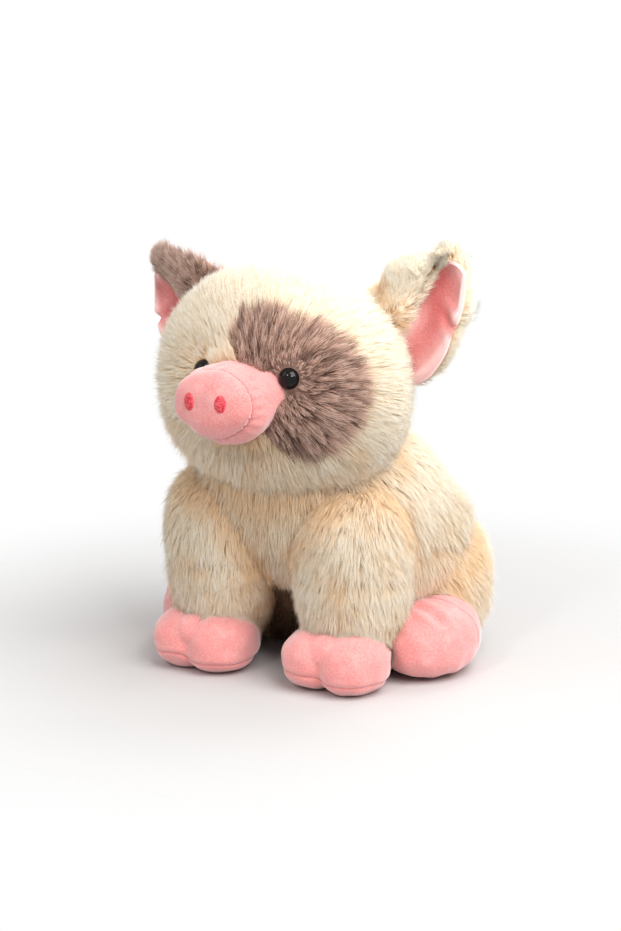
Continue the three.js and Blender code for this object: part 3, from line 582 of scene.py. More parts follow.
def growFur(name, roots, normals, comb, spec, seed, material, body, keepOut=(),
            lengthShare=1.0, toneShift=0.0, stand=0.0, lit=None):
    rng = np.random.default_rng(seed)
    count = len(roots)
    lengths = spec["length"] * rng.uniform(*strand["lengths"], count) * lengthShare
    paths, lockTone = growPaths(roots, normals, comb, spec, rng, lengths, stand)
    for shape in keepOut:  # hairs slide over what they would run into
        level = formLevel(shape, paths[:, 1:])
        push = np.where(level < 1.02, 1.02 / np.maximum(level, 0.2), 1.0)[..., None]
        paths[:, 1:] = shape["place"] + (paths[:, 1:] - shape["place"]) * push
    paths[..., 2] = np.maximum(paths[..., 2], strand["lowest"])
    streaks = spec.get("streaks", 1.0)
    tones = 0.62 + (0.13 * lockTone + rng.normal(size=count) * 0.1) * streaks + toneShift
    tones += 0.1 * wander(roots, 0.03, seed + 5)
    widths = spec["width"] * rng.uniform(*strand["widths"], count)
    widths = widths * 1.0
    pieces = addStrands(name, paths, widths, np.clip(tones, 0.02, 0.98),
                        unit(rng.normal(size=(count, 3))), normals if lit is None else lit,
                        spec.get("roundness", strand["roundness"]), material, body)
    print(name, count, "hairs in", pieces, "pieces")


def hairCount(count):
    return count


# Roots of hairs all over a form, on the cloth that lies a little inside its outline
def furRoots(shape, hairs, inset, seed):
    turn, fall = scatter(shape, hairCount(hairs), np.random.default_rng(seed))
    normals = formNormals(shape, turn, fall)
    return formPoints(shape, turn, fall) - normals * inset, normals


def addBacking(name, shape, sides, inset, replaced, lowest=0.0):
    points, faces = formMesh(shape, sides, sides // 2, grow=-inset)
    points[:, 2] = np.maximum(points[:, 2], lowest)
    finishPiece(addMesh(f"{name}_backing", points, faces), "body", creamBacking,
                [replaced])


# Head: the frame that face, snout and ears are placed in
head = {
    "place": (0.0, -0.092, 0.197),
    "turn": -2.0,  # degrees
    "halfWidth": 0.087,
    "face": 0.050,
    "back": 0.065,
    "halfHeight": 0.0715,
    "topRound": 2.15,
    "inset": 0.0060,
    "hairs": 140000,
    "pile": {"length": 0.0180, "lift": 0.64, "endLift": 0.20, "droop": 0.05, "jitter": 0.18,
             "perLock": 34, "pull": 0.4, "width": 0.00034, "streaks": 0.5},
    "patchPile": {"streaks": 2.8, "perLock": 20, "pull": 0.6},  # what the brown hairs change
    "raised": 0.0075,  # how much higher the pile is rooted round the snout
}
headMatrix = np.array(Matrix.Translation(head["place"]) @
                      Matrix.Rotation(math.radians(head["turn"]), 4, "Z"))


def headShape(carrier=None):
    return form((0, 0, 0), head["halfWidth"], head["face"], head["back"], head["halfHeight"],
                head["halfHeight"], topRound=head["topRound"], bottomRound=2.2, narrow=0.04,
                carrier=carrier)


headForm = headShape(headMatrix)
torso = {
    "halfWidth": 0.086,
    "halfDepth": 0.080,
    "height": 0.178,
    "lean": 0.035,
    "bow": 0.012,
    "inset": 0.0050,
    "hairs": 120000,
    "pile": {"length": 0.0185, "lift": 0.58, "endLift": 0.20, "droop": 0.12, "jitter": 0.2,
             "perLock": 40, "pull": 0.36, "width": 0.00033, "streaks": 0.45},
    "risings": (0.0085, 0.004),  # how much higher the pile is rooted by a thigh and by a leg
}
torsoForm = form((0, 0, torso["height"] / 2), torso["halfWidth"], torso["halfDepth"],
                 torso["halfDepth"], torso["height"] / 2, torso["height"] / 2 + 0.0005,
                 topRound=2.2, bottomRound=4.4, narrow=-0.08, tuck=0.5, lean=torso["lean"],
                 bow=torso["bow"])


def toHead(points):
    return (points - headMatrix[:3, 3]) @ headMatrix[:3, :3]


def fromHead(points):
    return points @ headMatrix[:3, :3].T + headMatrix[:3, 3]


patch = {
    "halfWidth": 0.043,
    "halfHeight": 0.050,
    "turn": 47.0,
    "tilt": 9.0,
    "rise": 0.004,
    "round": 0.89,  # the outline's share of that oval, and its waves round it
    "waves": ((0.151, 0.035), (-0.092, -0.094), (0.069, 0.038)),
    "corner": (-2.45, 0.28, 0.12),  # where it reaches under the snout, how wide, how far
}


def patchOutline(angle):
    waves = enumerate(patch["waves"], start=1)
    where, width, reach = patch["corner"]
    off = np.abs(np.angle(np.exp(1j * (angle - where))))
    return patch["round"] + reach * np.exp(-((off / width) ** 2)) + sum(
        across * np.cos(order * angle) + rise * np.sin(order * angle)
        for order, (across, rise) in waves)


# The patch's direction along the head, its direction out of it, and its tilt
def patchAxes():
    turn = math.radians(patch["turn"])
    return (np.array([math.cos(turn), math.sin(turn), 0.0]),
            np.array([math.sin(turn), -math.cos(turn), 0.0]), math.radians(patch["tilt"]))


# How far a point is from the middle of the eye patch, 1 at its edge
def patchLevel(local):
    side, way, tilt = patchAxes()
    across, rise = local @ side, local[..., 2] - patch["rise"]
    turned = across * math.cos(tilt) + rise * math.sin(tilt)
    risen = rise * math.cos(tilt) - across * math.sin(tilt)
    turned, risen = turned / patch["halfWidth"], risen / patch["halfHeight"]
    level = np.hypot(turned, risen) / patchOutline(np.arctan2(risen, turned))
    return np.where(local @ way > 0, level, 9.0)


eye = {
    "radius": 0.007,
    "dome": 0.0062,
    "spread": 0.0335,
    "rise": 0.008,
    "inset": 0.006,
    "stem": 0.0018,
    "stemLength": 0.015,
    "ridge": 0.0004,
}


def eyePlace(side):
    x, z = side * eye["spread"], eye["rise"]
    flat = math.sqrt(1 - (x / head["halfWidth"]) ** 2 - (z / head["halfHeight"]) ** 2)
    y = -head["face"] * flat
    look = unit(np.array([x / head["halfWidth"] ** 2, y / head["face"] ** 2,
                          z / head["halfHeight"] ** 2]))
    return np.array([x, y, z]) - look * eye["inset"], look


snout = {
    "halfWidth": 0.0283,
    "halfHeight": 0.0216,
    "flares": (0.0026, 0.0036, 0.0062),  # how much wider at the head: beside, above, below
    "swells": (0.0014, 0.0055),  # how far the band bulges: beside, below
    "reach": 0.075,
    "length": 0.034,
    "dome": 0.012,
    "drop": 0.006,
    "rounding": 0.78,  # of the disc, less is squarer at the seam
    "seamDepth": 0.0008,
    "seamWidth": 0.0018,
    "puckers": ((46, 0.0, 0.35), (29, 1.3, 0.25)),  # how many, from where round, how deep
    "creases": 23,  # behind the seam
    "creaseDepth": 0.00035,
    "creaseSetback": 0.005,
    "creaseWidth": 0.006,
}
ear = {
    "back": 0.030,
    "rise": 0.022,
    "proud": 0.0032,
    "lean": 25.6,
    "lift": 25.5,
    "sweeps": (8.0, 14.0),
    "length": 0.062,
    "halfWidth": 0.032,
    "skews": (0.029, 0.013),
    "cup": 0.013,
    "bend": 0.004,
    "rim": 0.0040,  # from the outline in to the lining
    "inset": 0.0055,  # from the outline in to the cloth that the pile grows on
    "upperInset": 0.0030,
    "lip": 0.0042,  # how far the lining's edge stands up
    "fold": 0.0095,
    "foldBase": 0.012,  # where the fold is narrower than this it is lower too
    "foldStarts": (0.20, -0.12),
    "foldRun": 0.85,
    "shoulder": 0.014,  # how much higher the folded part is at the head
    "sunk": 0.0085,  # how far the leaf's ends reach past the root to the head, which curves away
    "sunkAt": 0.027,  # how far along the root that is
    "notch": 0.64,  # where the lower edge is drawn in, in shares of the length
    "notchDepth": 0.0035,
    "notchWidth": 0.06,
    "trims": (1.0, 0.93),  # the right one is a little shorter
    "hairs": 26000,
    "zones": {"back": 0.29, "rim": 0.22, "fold": 0.41, "crest": 0.08},  # shares of the hairs
}
earPile = {  # for every hair, then what its colour and its zone change
    "every": {"length": 0.0145, "lift": 0.5, "endLift": 0.25, "droop": 0.03, "jitter": 0.28,
              "pull": 0.5, "width": 0.00033},
    "cream": {"perLock": 26, "roundness": 0.7, "streaks": 0.6},
    "brown": {"perLock": 18, "roundness": 0.9, "streaks": 2.2},
    "back": {"roundness": 1.0},
    "rim": {"lift": 0.62, "endLift": 0.35, "length": 0.0112, "jitter": 0.6, "perLock": 14,
            "roundness": 1.6},
    "fold": {"length": 0.0140},
    "crest": {"lift": 0.75, "endLift": 0.45, "jitter": 0.5, "perLock": 14, "roundness": 1.2},
    "brownEdge": 0.0080,  # the length of the brown hairs on the rim and the crest
}


# The head's pile is combed away from snout and eyes, up over the brow, down under the chin
# and down the nape
def headComb(local, normals):
    fromSnout = local * [1, 0, 1] + [0, 0, snout["drop"]]
    comb = unit(fromSnout) * 1.0 + np.array([0.0, 0.45, 0.0])
    behind = smoothStep(0.0, 0.05, local[:, 1])[:, None]
    comb = mixed(comb, np.array([0.0, 0.25, -1.0]), behind * 0.85)
    comb = comb + np.array([0.0, 0.0, -0.35]) * smoothStep(0.02, -0.03, local[:, 2])[:, None]
    for side in (-1, 1):
        away = local - eyePlace(side)[0]
        distance = np.linalg.norm(away, axis=-1)
        near = np.exp(-((distance / 0.016) ** 2))[:, None]
        comb = mixed(comb, unit(away) * 1.2, near * 0.9)
    swirl = np.stack([wander(local, 0.07, 3 + axis) for axis in range(3)], axis=-1)
    return flatTo(comb + swirl * 0.16, normals)


# How far out a point lies from the middle of the snout, 1 on an outline that much smaller
def snoutLevel(local, smaller=0.0):
    return np.hypot(local[:, 0] / (snout["halfWidth"] - smaller),
                    (local[:, 2] + snout["drop"]) / (snout["halfHeight"] - smaller))


def headSkin():
    addBacking("head", headForm, 96, head["inset"], "head_skin")
    roots, normals = furRoots(headForm, head["hairs"], head["inset"], 11)
    local = toHead(roots)
    keep = (snoutLevel(local, 0.001) > 1) | (local[:, 1] > 0)
    for side in (-1, 1):
        seat, look = eyePlace(side)
        away = local - seat
        off = np.linalg.norm(away - (away @ look)[:, None] * look, axis=-1)
        keep &= (off > eye["radius"] * 0.96) | (away @ look < -0.01)
    keep &= formLevel(torsoForm, roots) > 0.93
    roots, normals, local = roots[keep], normals[keep], local[keep]
    combed = headComb(local, normals @ headMatrix[:3, :3]) @ headMatrix[:3, :3].T
    # shorter round the eyes, upright round the snout, longer on the cheeks and chin
    atSnout = np.where(local[:, 1] < 0, smoothStep(1.6, 1.0, snoutLevel(local)), 0.0)
    share, stand = 1 - 0.25 * atSnout, 0.60 * atSnout
    raised = head["raised"] * smoothStep(0.35, 0.9, atSnout)
    for side in (-1, 1):
        distance = np.linalg.norm(local - eyePlace(side)[0], axis=-1)
        share *= mixed(0.36, 1.0, smoothStep(0.007, 0.024, distance))
        stand += 0.2 * smoothStep(0.018, 0.006, distance)
        raised *= smoothStep(0.010, 0.016, distance)
    roots = roots + normals * raised[:, None]
    share *= 1 + 0.18 * smoothStep(-0.01, -0.05, local[:, 2])
    tipped = toHead(roots + combed * (head["pile"]["length"] * 0.55 * share)[:, None])
    brown = patchLevel(tipped) + 0.03 * wander(local, 0.012, 21) < 0.98
    # Painted shade: darker under the chin where the head meets the torso, round the snout's base,
    # and towards the top of the brown patch
    shade = -0.22 * smoothStep(0.01, -0.02, formLevel(torsoForm, roots) - 1.25) - 0.2 * atSnout
    shade = shade - np.where(brown, 0.22 * smoothStep(-0.01, 0.04, local[:, 2]), 0.0)
    for name, chosen, material, slotName, seed, changed in (
            ("head_fur", ~brown, creamHair, "cream_fur", 31, {}),
            ("eye_patch_fur", brown, brownHair, "brown_fur", 32, head["patchPile"])):
        growFur(name, roots[chosen], normals[chosen], combed[chosen],
                {**head["pile"], **changed}, seed, material, "body",
                lengthShare=share[chosen], toneShift=shade[chosen], stand=stand[chosen])


# The brown panel under the patch's pile: a thin closed oval that lies on the head
def eyePatchPanel(rings=14, sides=64):
    side, outward, tilt = patchAxes()
    angle = anglesRound(sides)
    rows = []
    for ring in range(1, rings + 1):
        reach = 0.97 * ring / rings * patchOutline(angle)
        across = patch["halfWidth"] * reach * np.cos(angle)
        rise = patch["halfHeight"] * reach * np.sin(angle)
        turned = across * math.cos(tilt) - rise * math.sin(tilt)
        risen = rise * math.cos(tilt) + across * math.sin(tilt)
        rows.append(turned[:, None] * side + up * (risen + patch["rise"])[:, None])
    flat = np.vstack([*rows, up * patch["rise"]])
    low, high = np.zeros(len(flat)), np.full(len(flat), 0.12)
    for _ in range(28):  # halving steps out to the head's skin
        middle = (low + high) / 2
        inside = formLevel(headForm, fromHead(flat + outward * middle[:, None])) < 1
        low, high = np.where(inside, middle, low), np.where(inside, high, middle)
    surface = flat + outward * low[:, None]
    layers = [fromHead(surface - outward * (head["inset"] - rise)) for rise in (0.0006, -0.0014)]
    panel = addMesh("eye_patch_panel", np.vstack(layers), padFaces(rings, sides))
    finishPiece(panel, "body", brownBacking, ["eye_patch"])


headSkin()
eyePatchPanel()
print("head dressed")


# Safety eyes: a glossy dome with a thin rounded rim on a ridged stem
def safetyEye(name, side, sides=48):
    material, tree, shader = newMaterial("eyePlastic", 0.06, Specular_IOR_Level=0.3)
    place = addNode(tree, "TexCoord")
    noise = addNode(tree, "TexNoise", {"Vector": place.outputs["Object"], "Scale": 260.0})
    colour = mixColour(tree, noise.outputs[0], (0.0022, 0.0018, 0.0018, 1),
                       (0.006, 0.005, 0.005, 1))
    tree.links.new(colour, shader.inputs["Base Color"])
    tree.links.new(rangeOf(tree, noise.outputs[0], 0.3, 0.7, 0.03, 0.08),
                   shader.inputs["Roughness"])
    radius, dome, stem, ridge = eye["radius"], eye["dome"], eye["stem"], eye["ridge"]
    rows = [(stem, -eye["stemLength"])]  # radius and height, from the stem's end to the top
    rows += [(stem + ridge * (step % 2), 0.001 + 0.002 * step - eye["stemLength"])
             for step in range(5)]
    rows += [(stem + ridge, -0.001), (radius * 0.9, -0.0009), (radius * 0.98, -0.0005)]
    rows += [(radius * math.cos(bend) ** 0.9, dome * math.sin(bend))
             for bend in np.arange(14) / 14 * math.pi / 2]
    angle = anglesRound(sides)
    points = [np.stack([across * np.cos(angle), across * np.sin(angle),
                        np.full(sides, height)], axis=-1) for across, height in rows]
    points = np.vstack([*points, [0, 0, -eye["stemLength"]], [0, 0, dome]])
    seat, look = eyePlace(side)
    turn = np.array(Vector(up).rotation_difference(Vector(look)).to_matrix())
    faces = tubeFaces(len(rows), sides, len(points) - 2, len(points) - 1, inward=True)
    bead = addMesh(f"{name}_eye_bead", fromHead(points @ turn.T + seat), faces)
    finishPiece(bead, "body", material, [f"{name}_eye"])


safetyEye("left", 1)
safetyEye("right", -1)


# Snout: the gathered band and the domed disc, one velboa skin with a pinched seam between
def snoutSurface(share, angle):
    rim, length = snout["halfWidth"], snout["length"]
    beside, above, below = snout["flares"]
    flare = mixed(beside, np.where(np.sin(angle) < 0, below, above), np.sin(angle) ** 2)
    if share < 0.5:  # the band, from the head to the seam
        along = share / 0.5
        swell = mixed(*snout["swells"], np.maximum(0, -np.sin(angle)))
        radius = rim + flare * (1 - along) + swell * math.sin(along**1.9 * math.pi)
        height = length * along
    else:  # the disc, from the seam to its middle
        bend = (share - 0.5) / 0.5 * math.pi / 2
        radius = rim * max(0.0, math.cos(bend)) ** snout["rounding"]
        height = length + snout["dome"] * math.sin(bend) ** 0.92
    gap = height - length
    near = math.exp(-((gap / snout["seamWidth"]) ** 2))
    puckers = 1 + sum(depth * np.sin(angle * count + start)
                      for count, start, depth in snout["puckers"])
    behind = math.exp(-(((gap + snout["creaseSetback"]) / snout["creaseWidth"]) ** 2))
    creases = snout["creaseDepth"] * behind * np.sin(angle * snout["creases"] + 0.7)
    return radius - snout["seamDepth"] * near * puckers + creases, height


def snoutSkin(rows=96, sides=200):
    angle = anglesRound(sides)
    share = np.linspace(-1, 1, rows, endpoint=False)  # the rows lie closest at the seam
    share = 0.5 + 0.5 * np.sign(share) * np.abs(share) ** 1.5
    points, heights = [], []
    for place in share:
        radius, height = snoutSurface(place, angle)
        heights.append(height)
        points.append(np.stack([radius * np.cos(angle), np.full(sides, -height),
                                radius * np.sin(angle) * snout["halfHeight"] / snout["halfWidth"]],
                               axis=-1))
    tip = -(snout["length"] + snout["dome"])
    points = np.vstack([*points, [0, tip, 0], [0, 0.004, 0]])
    points -= [0, snout["reach"] - snout["length"], snout["drop"]]
    # the stuffing presses unevenly through the cloth
    points += (unit(points + [0, 0.06, snout["drop"]]) *
               (0.0005 * wander(points, 0.022, 41))[:, None])
    faces = tubeFaces(rows, sides, len(points) - 1, len(points) - 2, inward=True)
    skin = addMesh("snout_velboa", fromHead(points), faces)
    gaps = np.repeat(np.array(heights) - snout["length"], sides)
    markCloth(skin, np.append(gaps, [1.0, 1.0]))
    finishPiece(skin, "body", pinkVelboa, ["snout_band", "snout_disc"])


nostril = {
    "spread": 0.0115,
    "rise": 0.002,
    "halfWidth": 0.0043,
    "halfHeight": 0.006,
    "height": 0.0009,
    "thickness": 0.0016,
    "stitch": 0.0010,  # from one stitch to the next
    "ridge": 0.00026,
    "slant": 0.35,
}


# Nostril: satin stitches side by side over an oval, each a small ridge
def nostrilPad(name, side, rings=16, sides=72):
    scaleUp = snout["halfHeight"] / snout["halfWidth"]
    angle = anglesRound(sides)
    points = []
    for ring in (*range(1, rings + 1), 0):
        share = ring / rings
        x = side * nostril["spread"] + nostril["halfWidth"] * share * np.cos(angle)
        z = nostril["rise"] + nostril["halfHeight"] * share * np.sin(angle)
        bend = np.arccos(np.clip(np.hypot(x, z / scaleUp) / snout["halfWidth"], 0, 1) **
                         (1 / snout["rounding"]))
        ridges = np.sin((z + nostril["slant"] * x) / nostril["stitch"] * 2 * math.pi)
        depth = (snout["length"] + snout["dome"] * np.sin(bend) ** 0.92 +
                 nostril["height"] * (1 - share**4) +
                 nostril["ridge"] * ridges * (1 - share**6) - 0.0004 * share**8)
        points.append(np.stack([x, -depth, z], axis=-1))
    front = np.vstack([*points[:-1], points[-1][:1]])
    points = np.vstack([front, front + [0, nostril["thickness"], 0]])
    points -= [0, snout["reach"] - snout["length"], snout["drop"]]
    pad = addMesh(f"{name}_nostril_stitches", fromHead(points), padFaces(rings, sides))
    finishPiece(pad, "body", nostrilThread, [f"{name}_nostril"])


snoutSkin()
nostrilPad("left", 1)
nostrilPad("right", -1)
print("snout sewn")


# Torso
def pileDown(points, normals, backward, seed):
    swirl = np.stack([wander(points, 0.06, seed + axis) for axis in range(3)], axis=-1)
    return flatTo(np.array([0.0, backward, -1.0]) + swirl * 0.22, normals)


# Where one stuffed form meets another, the pile stands higher and softens the crease
def filledIn(roots, normals, other, depth):
    level = formLevel(other, roots)
    risen = smoothStep(1.6, 1.12, level) * smoothStep(0.90, 1.06, level)
    return roots + normals * (depth * risen * smoothStep(0.050, 0.0, roots[:, 1]))[:, None]


def torsoSkin():
    addBacking("torso", torsoForm, 88, torso["inset"], "torso_skin", 0.0004)
    roots, normals = furRoots(torsoForm, torso["hairs"], torso["inset"], 12)
    keep = (formLevel(headForm, roots) > 0.9) & (roots[:, 2] > 0.002)
    for shape in limbForms:
        keep &= formLevel(shape, roots) > 0.86
    roots, normals = roots[keep], normals[keep]
    for side in (-1, 1):
        for shape, depth in zip((thighForm(side), legForm(side)), torso["risings"]):
            roots = filledIn(roots, normals, shape, depth)
    comb = pileDown(roots, normals, 0.35, 51)
    nearest = np.min([formLevel(shape, roots) for shape in (*limbForms, headForm)], axis=0)
    middle = smoothStep(0.05, 0.03, np.abs(roots[:, 0]))
    chest = smoothStep(0.02, -0.06, roots[:, 1]) * middle
    arch = (smoothStep(0.078, 0.050, roots[:, 2]) * smoothStep(0.0, -0.03, roots[:, 1]) *
            middle)  # between the front legs
    # Painted shade: darker on the chest, in the arch between the front legs, and where the limbs
    # and the head meet the torso, more so low down
    shade = -0.22 * chest - 0.3 * arch - 0.75 * smoothStep(1.32, 1.02, nearest) * mixed(
        1.0, 0.35, smoothStep(0.07, 0.12, roots[:, 2]))
    # Painted shadow: in the arch the hair takes the dark brown shadedHair colours
    for name, chosen, material in (("torso_fur", arch <= 0.55, creamHair),
                                   ("arch_fur", arch > 0.55, shadedHair)):
        growFur(name, roots[chosen], normals[chosen], comb[chosen], torso["pile"], 33, material,
                "body", toneShift=shade[chosen],
                lengthShare=(1 - 0.5 * arch)[chosen])


# Front legs: a fur sleeve with a ragged hem over a cloven velboa hoof
leg = {
    "spread": 0.049,
    "forward": 0.085,
    "halfWidth": 0.034,
    "halfDepth": 0.033,
    "top": 0.134,
    "hem": 0.026,
    "hanging": (0.85, 0.50),  # how much longer the pile is at the left and the right hem
    "inset": 0.006,
    "rising": 0.004,  # how much higher the pile is rooted by the torso
    "hairs": 50000,
    "pile": {"length": 0.0185, "lift": 0.60, "endLift": 0.20, "droop": 0.1, "jitter": 0.2,
             "perLock": 34, "pull": 0.42, "width": 0.00033, "streaks": 0.5},
}
hoof = {
    "spread": 0.050,
    "forward": 0.107,
    "toeSpread": 0.0125,
    "toeHalfWidth": 0.0235,
    "toeFront": 0.027,
    "toeBack": 0.030,
    "height": 0.039,
    "heelHalfWidth": 0.031,
    "heelHalfDepth": 0.030,
    "heelSetback": 0.012,
    "splay": 5.0,
    "setback": 0.0010,  # of the toe to the pig's right
    "seamRises": (0.0130, 0.0092),  # on the toe to the pig's right, and on the other
    "bridge": {"halfWidth": 0.024, "front": 0.0262, "back": 0.028, "bottom": 0.0105,
               "topRound": 2.35, "bottomRound": 2.1},  # what fills the cleft from above
    "bridgeSetback": 0.002,
    "bridgeRise": 0.0055,
    "bridgeSunk": 0.0052,
}
thigh = {
    "spread": 0.060,
    "back": 0.006,
    "halfWidth": 0.037,
    "halfDepth": 0.050,
    "halfHeight": 0.046,
    "rise": 0.051,
    "inset": 0.0065,
    "lowest": 0.0055,
    "rising": 0.004,
    "hairs": 38000,
    "pile": {"length": 0.0170, "lift": 0.50, "endLift": 0.16, "droop": 0.14, "jitter": 0.2,
             "perLock": 40, "pull": 0.38, "width": 0.00033, "streaks": 0.45},
}
foot = {
    "spread": 0.0855,
    "forward": 0.0425,
    "halfWidth": 0.0312,
    "halfLength": 0.0418,
    "instep": 0.0285,
    "underside": 0.0220,
    "seamRise": 0.0030,
    "overSeam": 0.0440,  # how far forward the seam over the top of the foot lies
    "overSeamLowest": 0.022,
    "overSeamEnd": (0.100, 0.114),  # where it bends back at its outer end, and how far
    "overSeamBend": 0.008,
    "dent": 0.0024,
    "dentWidth": 0.0035,
    "dentEnds": ((0.0836, -0.0608, 0.0485), (0.1028, -0.0641, 0.0426)),
}


def legForm(side):
    half = (leg["top"] - leg["hem"]) / 2
    return form((side * leg["spread"], -leg["forward"], (leg["top"] + leg["hem"]) / 2),
                leg["halfWidth"], leg["halfDepth"], leg["halfDepth"], half, half,
                topRound=2.4, bottomRound=4.0, narrow=-0.02)


def thighForm(side):
    return form((side * thigh["spread"], thigh["back"], thigh["rise"]), thigh["halfWidth"],
                thigh["halfDepth"], thigh["halfDepth"], thigh["halfHeight"], thigh["halfHeight"],
                topRound=2.2, bottomRound=2.6)


def hoofForms(side):
    half = hoof["height"] / 2
    toes = [form((side * hoof["spread"] + toe * hoof["toeSpread"],
                  hoof["setback"] * (toe < 0) - hoof["forward"], half),
                 hoof["toeHalfWidth"], hoof["toeFront"], hoof["toeBack"], half, half + 0.0005,
                 topRound=2.3, bottomRound=2.35 if toe < 0 else 2.5,
                 splay=toe * hoof["splay"]) for toe in (-1, 1)]
    heel = form((side * hoof["spread"], hoof["heelSetback"] - hoof["forward"], half),
                hoof["heelHalfWidth"], hoof["heelHalfDepth"], hoof["heelHalfDepth"], half,
                half + 0.0005, topRound=2.3, bottomRound=2.8)
    bridge = form((side * hoof["spread"], hoof["bridgeSetback"] - hoof["forward"],
                   half + hoof["bridgeRise"]), top=half - hoof["bridgeSunk"], **hoof["bridge"])
    return [*toes, heel, bridge]


def footForm(side):
    return form((side * foot["spread"], -foot["forward"], foot["underside"]),
                foot["halfWidth"], foot["halfLength"], foot["halfLength"], foot["instep"],
                foot["underside"] + 0.0005, topRound=2.3, bottomRound=2.3)


limbForms = [makeForm(side) for makeForm in (legForm, thighForm) for side in (-1, 1)]
sewing = {
    "voxel": 0.00095,  # how fine the skins of hooves and feet are
    "quickVoxel": 0.0016,
    "uneven": 0.00045,  # how far the stuffing presses the cloth out and in
    "seamWidth": 0.0009,
    "seamDepth": 0.0006,
    "stitches": 60,
    "rollGap": 0.0032,  # from a seam to the cloth that rolls up on both sides of it
    "rollWidth": 0.0020,
    "rollHeight": 0.00035,
    "soleWall": 0.3,  # how steep the side has to be to carry the seam
}


# Velboa over stuffing: forms joined to one skin, with a stitched seam pressed in above the sole
def velboaSkin(name, forms, seamRise, replaced, seed, footSide=0):
    points, faces = joinedMesh([formMesh(shape, 56, 32) for shape in forms])
    points[:, 2] = np.maximum(points[:, 2], 0.0)
    skin = addMesh(name, points, faces)
    remeshed(skin, sewing["voxel"], 5)
    points, normals = meshArrays(skin)
    points = points + normals * (sewing["uneven"] * wander(points, 0.02, seed))[:, None]
    if footSide:  # the dent in the instep
        start, end = (np.array(end) * [footSide, 1, 1] for end in foot["dentEnds"])
        run = end - start
        along = np.clip((points - start) @ run / (run @ run), 0, 1)
        off = np.linalg.norm(points - start - along[:, None] * run, axis=-1) / foot["dentWidth"]
        pressed = np.exp(-(off**2)) - 0.4 * np.exp(-(((off - 2) / 0.8) ** 2))
        points = points - normals * (foot["dent"] * pressed)[:, None]
    gap = points[:, 2] - seamRise(points) - 0.0006 * wander(points, 0.03, seed + 1)
    wall = smoothStep(0.995, 0.9, np.abs(normals[:, 2]))
    if footSide:  # the seam over the top
        across = points[:, 1] + foot["overSeam"] + 0.0012 * wander(points, 0.03, seed + 2)
        bend = smoothStep(*foot["overSeamEnd"], np.abs(points[:, 0]))
        across = across - foot["overSeamBend"] * bend
        above = points[:, 2] > foot["overSeamLowest"]
        gap, wall = np.where(above, across, gap), np.where(above, 0.7, wall)
    seam = np.exp(-((gap / sewing["seamWidth"]) ** 2)) * wall
    aside = points - points.mean(axis=0)
    stitches = 0.75 + 0.25 * np.sin(np.arctan2(aside[:, 1], aside[:, 0]) * sewing["stitches"])
    points = points - normals * (sewing["seamDepth"] * seam * stitches)[:, None]
    roll = np.exp(-((np.abs(gap) - sewing["rollGap"]) / sewing["rollWidth"]) ** 2) * wall
    points = points + normals * (sewing["rollHeight"] * roll)[:, None]
    points[:, 2] = np.maximum(points[:, 2], 0.0)
    setPoints(skin, points)
    markCloth(skin, np.where(wall > sewing["soleWall"], gap, 1.0))
    finishPiece(skin, "body", pinkVelboa, replaced)


def limbFur(name, shape, limb, backward, hidden, keepOut, lowest, hanging, seed):
    roots, normals = furRoots(shape, limb["hairs"], limb["inset"], seed)
    keep = roots[:, 2] > lowest
    for other, least in hidden:
        keep &= formLevel(other, roots) > least
    roots, normals = roots[keep], normals[keep]
    roots = filledIn(roots, normals, torsoForm, limb["rising"])
    nearest = np.min([formLevel(other, roots) for other, _ in hidden], axis=0)
    atHem = smoothStep(lowest + 0.016, lowest, roots[:, 2])
    inner = smoothStep(0.036, 0.018, np.abs(roots[:, 0])) * smoothStep(0.095, 0.060, roots[:, 2])
    # Painted shade: legs and thighs a little darker all over, more where they meet another part,
    # and on their inner sides low down
    growFur(name, roots, normals, pileDown(roots, normals, backward, seed + 3), limb["pile"],
            seed + 7, creamHair, "body", keepOut=keepOut,
            toneShift=-0.17 - 0.34 * smoothStep(1.25, 1.0, nearest) - 0.2 * inner,
            lengthShare=(1 + hanging * atHem) * (1 - 0.35 * inner))


def frontLeg(name, side):
    addBacking(f"{name}_front_leg", legForm(side), 64, leg["inset"], f"{name}_front_leg")
    forms = hoofForms(side)
    middle = side * hoof["spread"]
    velboaSkin(f"{name}_front_hoof_velboa", forms, lambda points: mixed(
        *hoof["seamRises"], smoothStep(-0.006, 0.006, points[:, 0] - middle)),
        [f"{name}_front_hoof", f"{name}_front_sole"], 61 + side)
    limbFur(f"{name}_front_leg_fur", legForm(side), leg, 0.0,
            [(torsoForm, 0.9), (headForm, 0.9)], forms[:3], leg["hem"] + 0.001,
            leg["hanging"][0 if side > 0 else 1], 70 + side)


def hindLeg(name, side):
    addBacking(f"{name}_thigh", thighForm(side), 64, thigh["inset"], f"{name}_thigh",
               thigh["lowest"])
    shape = footForm(side)
    velboaSkin(f"{name}_hind_foot_velboa", [shape], lambda points: foot["seamRise"],
               [f"{name}_hind_foot", f"{name}_hind_sole"], 81 + side, footSide=side)
    limbFur(f"{name}_thigh_fur", thighForm(side), thigh, 0.45,
            [(torsoForm, 0.93), (shape, 0.97)], [shape], thigh["lowest"] + 0.0005, 0.3, 90 + side)


torsoSkin()
for sideName, side in (("left", 1), ("right", -1)):
    frontLeg(sideName, side)
    hindLeg(sideName, side)
print("torso and limbs dressed")


